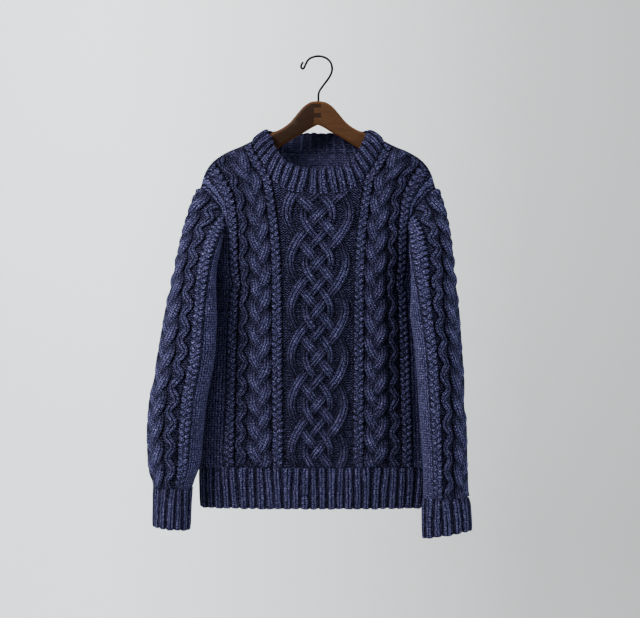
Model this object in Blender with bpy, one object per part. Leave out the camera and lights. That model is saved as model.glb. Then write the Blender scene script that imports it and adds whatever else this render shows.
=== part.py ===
"""Aran sweater hanging on a wooden hanger, as separate solids.

Metres, +Z up, the front faces -Y. The origin is the inside top of the wire
hook, where it rests on whatever holds it. The knitted pieces are shells with
a plain inside, and their cables and ribs are raised in the outer points.
"""
import math

import bpy
import numpy as np

WALL = 0.0030
GAP = 0.00015
FULLNESS = 2.5
CLOSING = 0.15
PANEL_TOP_ROW = 44
STRAP_ROW = 31
UNDERARM_ROW = 23
HEM_SEAM = -0.7143
UNDERARM = -0.408
STRAP_START = -0.300

BRAID_PERIOD = 0.0805
BRAID_START = -0.4828
BRAID_CROSSING = 0.032
BRAID_LOBE = 0.015
BRAID_INNER = 0.022
BRAID_STRAND = 0.0085
BRAID_RISE = 0.0042
PLAIT_PERIOD = 0.12075
PLAIT_REACH = 0.0130
PLAIT_STRAND = 0.0095
PLAIT_RISE = 0.0038
ZIGZAG_PERIOD = 0.04025
ZIGZAG_REACH = 0.0055
ZIGZAG_STRAND = 0.0075
ZIGZAG_RISE = 0.0032
ROPE_RISE = 0.0026
RIB_RISE = 0.0020

WOOL_BLUE = (0.046, 0.054, 0.120, 1.0)
WOOD_BROWN = (0.14, 0.065, 0.030, 1.0)
WIRE_BLACK = (0.02, 0.02, 0.022, 1.0)

# height, half width, front depth, back depth
TORSO = (
    (-0.790, 0.205, 0.052, 0.045),
    (-0.714, 0.207, 0.060, 0.050),
    (-0.600, 0.200, 0.066, 0.052),
    (-0.500, 0.192, 0.072, 0.055),
    (-0.408, 0.184, 0.074, 0.056),
    (-0.350, 0.186, 0.069, 0.054),
    (-0.300, 0.192, 0.062, 0.049),
    (-0.260, 0.208, 0.057, 0.047),
    (-0.227, 0.226, 0.053, 0.045),
    (-0.147, 0.270, 0.048, 0.042),
    (-0.100, 0.280, 0.048, 0.042),
)

# height, distance of the armhole seam from the middle
ARMHOLE = (
    (-0.408, 0.184),
    (-0.370, 0.176),
    (-0.335, 0.167),
    (-0.303, 0.162),
    (-0.271, 0.166),
    (-0.247, 0.181),
    (-0.232, 0.196),
    (-0.227, 0.205),
)

# height, width of knitting from the middle to the side or armhole
KNIT_WIDTH = (
    (-0.408, 0.235),
    (-0.370, 0.200),
    (-0.335, 0.185),
    (-0.303, 0.178),
    (-0.227, 0.175),
)

# distance from the middle, height of the shoulder line
SHOULDER = (
    (0.1155, -0.147),
    (0.1360, -0.157),
    (0.1575, -0.166),
    (0.1800, -0.180),
    (0.1925, -0.194),
    (0.1995, -0.208),
    (0.2050, -0.227),
)

# share of the way from the middle to the neck column, height that the panel closes at
NECK_CLOSING = (
    (0.0, -0.100),
    (0.7, -0.118),
    (1.0, -0.147),
)

# distance from the middle, height of the neck edge
FRONT_NECK = (
    (0.000, -0.243),
    (0.037, -0.240),
    (0.061, -0.231),
    (0.083, -0.213),
)
BACK_NECK = (
    (0.000, -0.168),
    (0.060, -0.166),
    (0.090, -0.162),
    (0.108, -0.157),
)

# height, distance from the middle of the column that ends at the shoulder's neck point
FRONT_GUIDE = (
    (-0.714, 0.0600),
    (-0.400, 0.0620),
    (-0.320, 0.0660),
    (-0.270, 0.0720),
    (-0.243, 0.0760),
    (-0.216, 0.0810),
    (-0.194, 0.0950),
    (-0.171, 0.1080),
    (-0.147, 0.1155),
)
BACK_GUIDE = (
    (-0.714, 0.1190),
    (-0.400, 0.1160),
    (-0.300, 0.1170),
    (-0.220, 0.1165),
    (-0.180, 0.1120),
    (-0.157, 0.1075),
    (-0.150, 0.1120),
    (-0.147, 0.1155),
)

# knitting columns of half a panel, measured from the middle
COLUMNS = (
    0.0, 0.014, 0.0235, 0.032, 0.047, 0.058, 0.062, 0.071, 0.080, 0.091,
    0.102, 0.113, 0.124, 0.135, 0.146, 0.156, 0.166, 0.189, 0.212, 0.235,
)
PLAIN_FROM = 0.166
PLAIN_TO = 0.235

# side, guide column, last row under the neck, neck edge, guide
PANELS = {
    "front": (-1, 6, 36, FRONT_NECK, FRONT_GUIDE),
    "back": (1, 12, 41, BACK_NECK, BACK_GUIDE),
}
INSIDE_COLUMNS = (0, 3, 6, 9, 12, 13, 14, 15, 16, 17, 18, 19)
INSIDE_ROWS = {
    "front": (0, 3, 6, 9, 12, 15, 18, 21, 23, 25, 28, 31, 33, 36, 38, 40, 42, 44),
    "back": (0, 3, 6, 9, 12, 15, 18, 21, 23, 25, 28, 31, 33, 36, 38, 41, 42, 44),
}

# height, outer reach, inner reach, middle depth, half depth, lean in degrees
LEFT_SLEEVE = (
    (-0.830, 0.2830, 0.2232, -0.045, 0.035, 0),
    (-0.766, 0.2815, 0.2202, -0.046, 0.036, 0),
    (-0.740, 0.2830, 0.2148, -0.048, 0.038, 0),
    (-0.705, 0.2884, 0.2026, -0.050, 0.042, 5),
    (-0.6526, 0.2898, 0.1972, -0.054, 0.046, 8),
    (-0.600, 0.2864, 0.1913, -0.056, 0.048, 12),
    (-0.5126, 0.2712, 0.1756, -0.058, 0.052, 20),
    (-0.425, 0.2570, 0.1717, -0.054, 0.055, 24),
    (-0.355, 0.2461, 0.1674, -0.034, 0.058, 14),
    (-0.320, 0.2371, 0.1604, -0.022, 0.058, 10),
    (-0.285, 0.2269, 0.1572, -0.010, 0.048, 5),
    (-0.259, 0.2190, 0.1640, -0.004, 0.034, 0),
    (-0.227, 0.2055, 0.1900, 0.000, 0.012, 0),
)
RIGHT_SLEEVE = (
    (-0.830, 0.2632, 0.1818, -0.052, 0.024, 0),
    (-0.775, 0.2593, 0.1809, -0.056, 0.028, 0),
    (-0.740, 0.2539, 0.1809, -0.060, 0.036, 5),
    (-0.705, 0.2515, 0.1794, -0.066, 0.042, 10),
    (-0.6526, 0.2505, 0.1755, -0.072, 0.048, 15),
    (-0.600, 0.2486, 0.1716, -0.076, 0.052, 20),
    (-0.5126, 0.2427, 0.1650, -0.079, 0.053, 25),
    (-0.425, 0.2360, 0.1530, -0.075, 0.052, 25),
    (-0.355, 0.2222, 0.1480, -0.046, 0.058, 20),
    (-0.3026, 0.2138, 0.1470, -0.022, 0.054, 10),
    (-0.285, 0.2134, 0.1522, -0.014, 0.048, 5),
    (-0.259, 0.2105, 0.1620, -0.006, 0.034, 0),
    (-0.227, 0.2045, 0.1900, 0.000, 0.012, 0),
)

CAP_RINGS = 12
CAP_END = -0.460
LEAVE = 1.1
FALL = 0.9
FALL_STEP = 0.02
ROW_STEP = 0.0134
FACING = 42.0
# place round the armhole from its top over the front, and the direction the
# sleeve leaves in: outwards, backwards, upwards
LEFT_LEAVING = (
    (0.000, 0.40, 0.00, -0.92),
    (0.125, 0.55, -0.50, -0.65),
    (0.250, 0.20, -0.95, -0.25),
    (0.375, 0.10, -0.98, -0.15),
    (0.500, 0.85, -0.50, 0.00),
    (0.625, 0.72, 0.68, -0.15),
    (0.750, 0.70, 0.65, -0.30),
    (0.875, 0.60, 0.42, -0.65),
    (1.000, 0.40, 0.00, -0.92),
)
RIGHT_LEAVING = (
    (0.000, 0.35, 0.00, -0.93),
    (0.125, 0.45, -0.60, -0.60),
    (0.250, -0.25, -0.95, -0.15),
    (0.375, -0.05, -0.98, -0.10),
    (0.500, 0.75, -0.60, 0.30),
    (0.625, 0.75, 0.25, -0.25),
    (0.750, 0.70, 0.60, -0.35),
    (0.875, 0.60, 0.40, -0.65),
    (1.000, 0.35, 0.00, -0.93),
)
# side, hanging form, leaving directions, cuff seam height, cuff end height, rise of the outer end
SLEEVES = {
    "left": (-1, LEFT_SLEEVE, LEFT_LEAVING, -0.7480, -0.8175, 0.0035),
    "right": (1, RIGHT_SLEEVE, RIGHT_LEAVING, -0.7650, -0.8275, 0.0075),
}
# columns of half a sleeve from its top line, as shares of the half round
SLEEVE_COLUMNS = (
    0.0, 0.073, 0.147, 0.23, 0.31, 0.38, 0.45, 0.56, 0.67, 0.78, 0.89, 1.0,
)
SLEEVE_HALF_ROUND = 0.150

# distance from the middle, depth, height of the neckband's upper edge
BAND_EDGE = (
    (0.0000, -0.0500, -0.2010),
    (0.0400, -0.0480, -0.1940),
    (0.0595, -0.0430, -0.1820),
    (0.0720, -0.0340, -0.1660),
    (0.0805, -0.0200, -0.1450),
    (0.0900, 0.0000, -0.1285),
    (0.0850, 0.0180, -0.1285),
    (0.0550, 0.0300, -0.1300),
    (0.0000, 0.0340, -0.1310),
)
BAND_RIBS = 36
BAND_CORNER = 5
BAND_WALL = 0.0035

# distance from the middle, top height, bottom height, half thickness
HANGER_ARM = (
    (0.0000, -0.0768, -0.1188, 0.0065),
    (0.0110, -0.0782, -0.1242, 0.0065),
    (0.0215, -0.0835, -0.1308, 0.0065),
    (0.0310, -0.0925, -0.1360, 0.0065),
    (0.0400, -0.1035, -0.1410, 0.0065),
    (0.0490, -0.1140, -0.1462, 0.0065),
    (0.0620, -0.1240, -0.1545, 0.0065),
    (0.0780, -0.1318, -0.1645, 0.0065),
    (0.0950, -0.1400, -0.1745, 0.0065),
    (0.1155, -0.1527, -0.1850, 0.0062),
    (0.1360, -0.1615, -0.1925, 0.0060),
    (0.1575, -0.1713, -0.1990, 0.0056),
    (0.1720, -0.1811, -0.2040, 0.0050),
    (0.1800, -0.1886, -0.2055, 0.0042),
    (0.1830, -0.1960, -0.2035, 0.0024),
)

# distance from the middle, depth, height of the middle of the hook's wire
HOOK_LINE = (
    (0.0007, 0.0, -0.0764),
    (0.0007, 0.0, -0.0690),
    (0.0012, 0.0, -0.0630),
    (0.0040, 0.0, -0.0570),
    (0.0145, 0.0, -0.0430),
    (0.0222, 0.0, -0.0315),
    (0.0252, 0.0, -0.0205),
    (0.0222, 0.0, -0.0090),
    (0.0130, 0.0, -0.0010),
    (0.0010, 0.0, 0.0019),
    (-0.0110, 0.0, -0.0008),
    (-0.0165, 0.0, -0.0042),
    (-0.0208, 0.0, -0.0110),
    (-0.0232, 0.0, -0.0168),
    (-0.0262, 0.0, -0.0212),
    (-0.0298, 0.0, -0.0184),
    (-0.0291, 0.0, -0.0138),
    (-0.0268, 0.0, -0.0100),
)
WIRE_RADIUS = 0.0018
WIRE_SIDES = 8
WIRE_STEPS = 3


def smooth(where, knots, values):
    """Smooth curve through a table, without overshooting between its rows."""
    knots = np.asarray(knots, float)
    values = np.asarray(values, float)
    step = np.diff(knots)
    rise = np.diff(values) / step
    slope = np.zeros(len(knots))
    same = rise[:-1] * rise[1:] > 0
    total = np.where(same, rise[:-1] + rise[1:], 1.0)
    slope[1:-1] = np.where(same, 2.0 * rise[:-1] * rise[1:] / total, 0.0)
    slope[0] = rise[0]
    slope[-1] = rise[-1]
    where = np.clip(where, knots[0], knots[-1])
    k = np.clip(np.searchsorted(knots, where, side="right") - 1, 0, len(step) - 1)
    t = (where - knots[k]) / step[k]
    keep = values[k] * (1 + 2 * t) * (1 - t) ** 2 + values[k + 1] * t * t * (3 - 2 * t)
    lean = slope[k] * t * (1 - t) ** 2 - slope[k + 1] * t * t * (1 - t)
    return keep + step[k] * lean


def column(table, index):
    """One column of a table as an array."""
    return np.array([row[index] for row in table])


def unit(vectors):
    """Vectors scaled to length one."""
    length = np.linalg.norm(vectors, axis=-1, keepdims=True)
    return vectors / np.maximum(length, 1e-12)


def ease(t):
    """Soft step from 0 to 1."""
    t = np.clip(t, 0.0, 1.0)
    return t * t * (3.0 - 2.0 * t)


def make_object(name, points, faces, colour, roughness=0.9):
    """Closed body from points and triangles, with its faces turned out."""
    points = np.asarray(points, float)
    faces = np.asarray(faces, int)
    a, b, c = points[faces[:, 0]], points[faces[:, 1]], points[faces[:, 2]]
    if np.einsum("ij,ij->", a, np.cross(b, c)) < 0:
        faces = faces[:, ::-1]
    mesh = bpy.data.meshes.new(name)
    mesh.from_pydata(points.tolist(), [], faces.tolist())
    mesh.update()
    mesh.shade_smooth()
    mesh.set_sharp_from_angle(angle=math.radians(50))
    item = bpy.data.objects.new(name, mesh)
    bpy.context.scene.collection.objects.link(item)
    material = bpy.data.materials.new(name)
    material.use_nodes = True
    shader = material.node_tree.nodes["Principled BSDF"]
    shader.inputs["Base Color"].default_value = colour
    shader.inputs["Roughness"].default_value = roughness
    mesh.materials.append(material)
    return item


def join_rings(first, first_at, second, second_at):
    """Triangles between two closed rings of point numbers, merged by position in 0..1."""
    faces = []
    i = 0
    j = 0
    n = len(first)
    m = len(second)
    while i < n or j < m:
        next_first = first_at[i + 1] if i + 1 < n else 1.0 + first_at[(i + 1) % n]
        next_second = second_at[j + 1] if j + 1 < m else 1.0 + second_at[(j + 1) % m]
        if j >= m or (i < n and next_first <= next_second):
            faces.append((first[i % n], first[(i + 1) % n], second[j % m]))
            i += 1
        else:
            faces.append((first[i % n], second[(j + 1) % m], second[j % m]))
            j += 1
    return faces


def fan_rim(fine, coarse, marks, body):
    """Triangles between a closed fine ring and a coarse ring at its marked points.

    Between two marks the fan changes sides where the fine ring is equally far
    from both coarse points, so two pieces that meet get the same triangles.
    """
    faces = []
    n = len(fine)
    for k, start in enumerate(marks):
        stop = marks[(k + 1) % len(marks)]
        if stop <= start:
            stop += n
        near = coarse[k]
        far = coarse[(k + 1) % len(coarse)]
        ring = np.array([body[fine[i % n]] for i in range(start, stop + 1)])
        gap = np.abs(np.linalg.norm(ring - body[near], axis=1) - np.linalg.norm(ring - body[far], axis=1))
        half = start + max(1, int(np.argmin(gap))) if stop > start + 1 else stop
        for i in range(start, stop):
            apex = near if i < half else far
            faces.append((fine[i % n], fine[(i + 1) % n], apex))
            if i + 1 == half:
                faces.append((near, fine[half % n], far))
    return faces


def braid(u, z):
    """Height of the six-strand centre braid at a knitting column and a height."""
    phase = (BRAID_START - z) / BRAID_PERIOD
    best = np.zeros(np.shape(u * z))
    for strand in range(4):
        p = (phase + strand) % 4.0
        rising = -BRAID_CROSSING + 2 * BRAID_CROSSING * p
        right = BRAID_CROSSING + BRAID_LOBE * np.sin(math.pi * (p - 1))
        falling = BRAID_CROSSING - 2 * BRAID_CROSSING * (p - 2)
        left = -BRAID_CROSSING - BRAID_LOBE * np.sin(math.pi * (p - 3))
        middle = np.select([p < 1, p < 2, p < 3], [rising, right, falling], left)
        best = np.maximum(best, bump(u - middle, BRAID_STRAND))
    for strand in (-1, 1):
        middle = strand * BRAID_INNER * np.sin(math.pi * phase)
        best = np.maximum(best, bump(u - middle, BRAID_STRAND))
    return BRAID_RISE * best


def plait(u, z):
    """Height of a three-strand plait about its own middle line."""
    phase = -2 * math.pi * z / PLAIT_PERIOD
    best = np.zeros(np.shape(u * z))
    for strand in range(3):
        turn = phase + strand * 2 * math.pi / 3
        over = 0.75 - 0.25 * np.sin(2 * turn)
        best = np.maximum(best, over * bump(u - PLAIT_REACH * np.sin(turn), PLAIT_STRAND))
    return PLAIT_RISE * best


def zigzag(u, z):
    """Height of one strand that waves about its middle line."""
    middle = ZIGZAG_REACH * np.sin(2 * math.pi * z / ZIGZAG_PERIOD)
    return ZIGZAG_RISE * bump(u - middle, ZIGZAG_STRAND)


def bump(offset, half_width):
    """Round strand section, 1 at its middle and 0 past its edge."""
    return np.sqrt(np.clip(1.0 - (offset / half_width) ** 2, 0.0, 1.0))


def panel_relief(u, z):
    """Cables of the front and the back: braid, rope, plait, zigzag and rope."""
    a = np.abs(u)
    height = np.where(a < 0.0605, braid(u, z), 0.0)
    height = height + np.where((a > 0.062) & (a < 0.080), ROPE_RISE * bump(a - 0.071, 0.0095), 0.0)
    height = height + np.where((a > 0.080) & (a < 0.124), plait(a - 0.102, z), 0.0)
    height = height + np.where((a > 0.124) & (a < 0.146), zigzag(a - 0.135, z), 0.0)
    return height + np.where((a > 0.146) & (a < 0.166), ROPE_RISE * bump(a - 0.156, 0.0095), 0.0)


def sleeve_relief(s, z):
    """Cables of a sleeve: a plait on the top line, with a zigzag and a rope each side."""
    a = np.abs(s)
    height = np.where(a < 0.022, plait(s, z), 0.0)
    height = height + np.where((a > 0.022) & (a < 0.047), zigzag(a - 0.0345, z), 0.0)
    return height + np.where((a > 0.047) & (a < 0.0675), ROPE_RISE * bump(a - 0.057, 0.0105), 0.0)


def rib_relief(count, step):
    """Rib heights for a row of columns, three to a rib: two raised and one sunk."""
    return np.where((np.arange(count) + step) % 3 == 2, 0.0, RIB_RISE)


def torso_depth(x, z, depth_column):
    """Depth of the torso's section at a distance from the middle and a height."""
    heights = column(TORSO, 0)
    half = smooth(z, heights, column(TORSO, 1))
    depth = smooth(z, heights, column(TORSO, depth_column))
    inside = np.clip(1.0 - np.clip(x / half, 0.0, 1.0) ** FULLNESS, 0.0, 1.0)
    return depth * inside ** (1.0 / FULLNESS)


def side_edge(z):
    """Distance of the side seam or the armhole seam from the middle."""
    if z <= UNDERARM + 1e-6:
        return float(smooth(z, column(TORSO, 0), column(TORSO, 1)))
    return float(smooth(z, column(ARMHOLE, 0), column(ARMHOLE, 1)))


def row_positions(z, guide_x, guide_u, depth_column):
    """Distances from the middle of all columns at one height, even along the cloth."""
    edge = side_edge(z)
    sample = edge * np.sin(np.linspace(0.0, math.pi / 2, 121))
    depth = torso_depth(sample, z, depth_column)
    walk = np.concatenate([[0.0], np.cumsum(np.hypot(np.diff(sample), np.diff(depth)))])
    guide_walk = np.interp(guide_x, sample, walk)
    width = knit_width(z)
    u = knit_columns(width)
    inner = guide_walk * u / guide_u
    outer = guide_walk + (walk[-1] - guide_walk) * (u - guide_u) / (width - guide_u)
    return np.interp(np.where(u <= guide_u, inner, outer), walk, sample), u


def knit_width(z):
    """Width of knitting from the middle to the edge at a height."""
    return float(smooth(z, column(KNIT_WIDTH, 0), column(KNIT_WIDTH, 1)))


def knit_columns(width):
    """Columns at a height: the plain ones are narrowed by the armhole."""
    u = np.array(COLUMNS)
    plain = PLAIN_FROM + (u - PLAIN_FROM) * (width - PLAIN_FROM) / (PLAIN_TO - PLAIN_FROM)
    return np.where(u > PLAIN_FROM, plain, u)


def half_panel(name):
    """Points and knitting columns of half a panel, row by row and column by column."""
    side, guide, neck_row, neck, guide_table = PANELS[name]
    depth_column = 2 if side < 0 else 3
    guide_u = COLUMNS[guide]
    rows = PANEL_TOP_ROW + 1
    count = len(COLUMNS)
    x = np.zeros((rows, count))
    z = np.zeros((rows, count))
    u = np.zeros((rows, count))
    guide_z = column(guide_table, 0)
    guide_at = column(guide_table, 1)
    lower = np.linspace(HEM_SEAM, UNDERARM, UNDERARM_ROW + 1)
    upper = np.linspace(UNDERARM, STRAP_START, STRAP_ROW - UNDERARM_ROW + 1)
    for row, height in enumerate(np.concatenate([lower, upper[1:]])):
        x[row], u[row] = row_positions(height, smooth(height, guide_z, guide_at), guide_u, depth_column)
        z[row] = height
    # Columns past the guide end on the shoulder line
    top_width = knit_width(0.0)
    top_u = knit_columns(top_width)
    reach = (top_u - guide_u) / (top_width - guide_u)
    start_reach = (x[STRAP_ROW] - x[STRAP_ROW, guide]) / (x[STRAP_ROW, -1] - x[STRAP_ROW, guide])
    ends = SHOULDER[0][0] + reach * (SHOULDER[-1][0] - SHOULDER[0][0])
    ridge = smooth(ends, column(SHOULDER, 0), column(SHOULDER, 1))
    share = np.array(COLUMNS) / guide_u
    under_neck = smooth(share, column(NECK_CLOSING, 0), column(NECK_CLOSING, 1))
    base = np.where(share < 1.0, under_neck, ridge) - CLOSING
    first_angle = np.arcsin(np.clip((STRAP_START - base) / CLOSING, -1.0, 1.0))
    for row in range(STRAP_ROW + 1, rows):
        t = (row - STRAP_ROW) / (PANEL_TOP_ROW - STRAP_ROW)
        angle = first_angle + t * (math.pi / 2 - first_angle)
        z[row] = base + CLOSING * np.sin(angle)
        guide_x = smooth(z[row, guide], guide_z, guide_at)
        edge_x = smooth(z[row, -1], column(ARMHOLE, 0), column(ARMHOLE, 1))
        mix = start_reach + t * (reach - start_reach)
        x[row] = guide_x + (edge_x - guide_x) * mix
        u[row] = u[STRAP_ROW] + t * (top_u - u[STRAP_ROW])
    # Columns inside the guide end on the neck edge
    inner = x[STRAP_ROW, :guide] / x[STRAP_ROW, guide]
    neck_z = smooth(inner * x[neck_row, guide], column(neck, 0), column(neck, 1))
    for row in range(STRAP_ROW + 1, rows):
        part = (z[row, guide] - STRAP_START) / (z[neck_row, guide] - STRAP_START)
        if row <= neck_row:
            x[row, :guide] = inner * x[row, guide]
            z[row, :guide] = STRAP_START + (neck_z - STRAP_START) * part
        else:
            x[row, :guide] = 2 * x[row - 1, :guide] - x[row - 2, :guide]
            z[row, :guide] = 2 * z[row - 1, :guide] - z[row - 2, :guide]
    closing = np.sqrt(1.0 - np.clip((z - base) / CLOSING, 0.0, 1.0) ** 2)
    y = side * torso_depth(x, z, depth_column) * closing
    y[PANEL_TOP_ROW, guide:] = 0.0
    y[:UNDERARM_ROW + 1, -1] = 0.0
    return np.stack([x, y, z], axis=-1), u


def whole_panel(name):
    """Points, normals and columns of a whole panel, left edge first."""
    side, guide, neck_row = PANELS[name][:3]
    half, half_u = half_panel(name)
    mirrored = half[:, :0:-1] * np.array([-1.0, 1.0, 1.0])
    points = np.concatenate([mirrored, half], axis=1)
    u = np.concatenate([-half_u[:, :0:-1], half_u], axis=1)
    middle = len(COLUMNS) - 1
    across = np.gradient(points, axis=1)
    up = np.gradient(points, axis=0)
    right = middle + guide
    left = middle - guide
    across[neck_row + 1:, right] = points[neck_row + 1:, right + 1] - points[neck_row + 1:, right]
    across[neck_row + 1:, left] = points[neck_row + 1:, left] - points[neck_row + 1:, left - 1]
    up[neck_row, left + 1:right] = points[neck_row, left + 1:right] - points[neck_row - 1, left + 1:right]
    normals = unit(np.cross(across, up)) * -side
    flat = np.zeros(points.shape[:2], bool)
    flat[PANEL_TOP_ROW] = True
    flat[:UNDERARM_ROW + 1, 0] = True
    flat[:UNDERARM_ROW + 1, -1] = True
    normals[flat, 1] = 0.0
    return points, unit(normals), u


def seam_frames(loop, before, after):
    """Thickness and sewing directions at a seam between two cloths.

    The thickness direction halves the turn from the one cloth to the other, so
    that both cloths end in the same narrow face.
    """
    along = unit(np.roll(loop, -1, axis=0) - np.roll(loop, 1, axis=0))
    path = unit(unit(before) + unit(after))
    path = unit(path - along * np.sum(path * along, axis=1, keepdims=True))
    return np.cross(path, along), path


def armhole_loop(grids, side):
    """Armhole seam of one side: up the front from the underarm and down the back."""
    edge = 2 * (len(COLUMNS) - 1) if side > 0 else 0
    rows = range(UNDERARM_ROW, PANEL_TOP_ROW + 1)
    front = [("front", row, edge) for row in rows]
    back = [("back", row, edge) for row in reversed(rows[1:-1])]
    keys = front + back
    loop = np.array([grids[name][0][row, col] for name, row, col in keys])
    step = -1 if side > 0 else 1
    before = np.array([grids[name][0][row, col] - grids[name][0][row, col + step] for name, row, col in keys])
    before[0] = (0.0, 0.0, 1.0)
    return keys, loop, before


def neck_loop(grids):
    """Neck seam from the front's middle over its right side, the back and its left side."""
    middle = len(COLUMNS) - 1
    keys = []
    before = []
    for name, turn in (("front", 1), ("back", -1)):
        guide, neck_row = PANELS[name][1:3]
        across = [(neck_row, middle + turn * col) for col in range(-guide, guide + 1)]
        climb = [(row, middle + turn * guide) for row in range(neck_row + 1, PANEL_TOP_ROW)]
        fall = [(row, middle - turn * guide) for row in range(PANEL_TOP_ROW, neck_row, -1)]
        keys += [(name, row, col) for row, col in fall + across + climb]
    points = np.array([grids[name][0][row, col] for name, row, col in keys])
    for name, row, col in keys:
        grid = grids[name][0]
        guide, neck_row = PANELS[name][1:3]
        outward = 1 if col > middle else -1
        if row > neck_row:
            before.append(grid[row, col] - grid[row, col + outward])
        elif abs(col - middle) == guide:
            before.append(2 * grid[row, col] - grid[row - 1, col] - grid[row, col + outward])
        else:
            before.append(grid[row, col] - grid[row - 1, col])
    return keys, points, np.array(before)


def build_panel(name, grid, seams):
    """Front or back panel: fine outside with cables, plain coarse inside, and a rim."""
    side, guide, neck_row = PANELS[name][:3]
    points, normals, u = grid
    rows, count = points.shape[:2]
    middle = len(COLUMNS) - 1
    shift = np.zeros_like(points)
    fade = np.ones((rows, count))
    fade[:, (0, -1)] = 0.0
    fade[PANEL_TOP_ROW] = 0.0
    fade[neck_row, middle - guide:middle + guide + 1] = 0.0
    fade[neck_row:, (middle - guide, middle + guide)] = 0.0
    fade[neck_row - 1, middle - guide:middle + guide + 1] *= 0.5
    fade[neck_row - 1:, (middle - guide - 1, middle + guide + 1)] *= 0.5
    shift[PANEL_TOP_ROW, :, 1] = side * GAP
    shift[:UNDERARM_ROW + 1, (0, -1), 1] = side * GAP
    shift[0, :, 2] += GAP
    thick = normals.copy()
    for keys, directions, paths in seams:
        for (owner, row, col), direction, path in zip(keys, directions, paths):
            if owner != name and row not in (UNDERARM_ROW, PANEL_TOP_ROW):
                continue
            if owner != name and 0 < col < count - 1:
                col = middle + guide if col > middle else middle - guide
            thick[row, col] = direction
            shift[row, col] -= GAP * path
    relief = panel_relief(u, points[..., 2]) * fade
    outer = points + normals * relief[..., None] + shift
    inner = points - thick * WALL + shift

    def kept(row, col):
        return row <= neck_row or abs(col - middle) >= guide

    number = {}
    body = []
    for row in range(rows):
        for col in range(count):
            if kept(row, col):
                number["outer", row, col] = len(body)
                body.append(outer[row, col])
    inside_rows = INSIDE_ROWS[name]
    inside_columns = sorted({middle + turn * col for col in INSIDE_COLUMNS for turn in (-1, 1)})
    for row in inside_rows:
        for col in inside_columns:
            if kept(row, col):
                number["inner", row, col] = len(body)
                body.append(inner[row, col])
    faces = []
    layers = (("outer", range(rows), range(count)), ("inner", inside_rows, inside_columns))
    for layer, row_list, col_list in layers:
        for r0, r1 in zip(row_list[:-1], row_list[1:]):
            for c0, c1 in zip(col_list[:-1], col_list[1:]):
                if r1 > neck_row and abs(c0 + c1 - 2 * middle) < 2 * guide:
                    continue
                a, b = number[layer, r0, c0], number[layer, r0, c1]
                c, d = number[layer, r1, c1], number[layer, r1, c0]
                two = [(a, b, c), (a, c, d)] if (r0 + c0) % 2 else [(a, b, d), (b, c, d)]
                faces += two if layer == "outer" else [face[::-1] for face in two]
    left, right = middle - guide, middle + guide
    last = PANEL_TOP_ROW
    border = [(0, col) for col in range(count)]
    border += [(row, count - 1) for row in range(1, rows)]
    border += [(last, col) for col in range(count - 2, right - 1, -1)]
    border += [(row, right) for row in range(last - 1, neck_row - 1, -1)]
    border += [(neck_row, col) for col in range(right - 1, left - 1, -1)]
    border += [(row, left) for row in range(neck_row + 1, rows)]
    border += [(last, col) for col in range(left - 1, -1, -1)]
    border += [(row, 0) for row in range(last - 1, 0, -1)]
    marks = [k for k, key in enumerate(border) if ("inner",) + key in number]
    fine = [number[("outer",) + key] for key in border]
    coarse = [number[("inner",) + border[k]] for k in marks]
    faces += [face[::-1] for face in fan_rim(fine, coarse, marks, body)]
    return make_object(name, body, faces, WOOL_BLUE)


def sleeve_section(table, angle, z):
    """Point of the hanging sleeve at an angle round its middle and a height."""
    heights = column(table, 0)
    outer = smooth(z, heights, column(table, 1))
    inner = smooth(z, heights, column(table, 2))
    depth = smooth(z, heights, column(table, 3))
    half = smooth(z, heights, column(table, 4))
    lean = np.radians(smooth(z, heights, column(table, 5)))
    x = (outer + inner) / 2 + (outer - inner) / 2 * np.cos(angle)
    y = depth + half * np.sin(angle + lean)
    return np.stack(np.broadcast_arrays(x, y, z), axis=-1)


def sleeve_turns():
    """Columns round a sleeve from its top line, as a share of the whole round."""
    half = np.array(SLEEVE_COLUMNS)
    return np.concatenate([half / 2, 1.0 - half[-2:0:-1] / 2])


def sleeve_grid(side, table, leaving_table, cuff_seam, loop):
    """Rings of a sleeve from the armhole seam to the cuff.

    Each column leaves the seam in its own direction and bends down into the
    hanging sleeve, as a curve between two points with a direction at each end.
    """
    seam = loop * np.array([side, 1.0, 1.0])
    tip = PANEL_TOP_ROW - UNDERARM_ROW
    # The seam starts at the underarm, and the sleeve's columns at the top line
    order = np.roll(np.arange(len(seam)), -tip)
    ring = seam[order]
    ring = np.vstack([ring, ring[:1]])
    walk = np.concatenate([[0.0], np.cumsum(np.linalg.norm(np.diff(ring, axis=0), axis=1))])
    half = walk[len(seam) // 2]
    place = np.where(walk <= half, walk / half / 2, 0.5 + (walk - half) / (walk[-1] - half) / 2)
    turns = sleeve_turns()
    start = np.stack([np.interp(1.0 - turns, place, ring[:, k]) for k in range(3)], axis=-1)
    places = column(leaving_table, 0)
    leaving = unit(np.stack([smooth(turns, places, column(leaving_table, k)) for k in (1, 2, 3)], axis=-1))
    angle = -math.radians(FACING) - 2 * math.pi * turns
    end = sleeve_section(table, angle, np.full(len(turns), CAP_END))
    below = sleeve_section(table, angle, np.full(len(turns), CAP_END - FALL_STEP))
    falling = unit(below - end)
    reach = np.linalg.norm(end - start, axis=1)[:, None]
    rings = [start]
    for t in np.arange(1, CAP_RINGS + 1) / CAP_RINGS:
        path = start * (1 + 2 * t) * (1 - t) ** 2 + end * t * t * (3 - 2 * t)
        path += LEAVE * reach * leaving * t * (1 - t) ** 2 - FALL * reach * falling * t * t * (1 - t)
        rings.append(path)
    steps = int(round((CAP_END - cuff_seam) / ROW_STEP))
    for z in np.linspace(CAP_END, cuff_seam, steps + 1)[1:]:
        rings.append(sleeve_section(table, angle, np.full(len(turns), z)))
    rings = np.array(rings)
    rings[..., 0] *= side
    return rings, turns, order, place[:-1]


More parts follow.
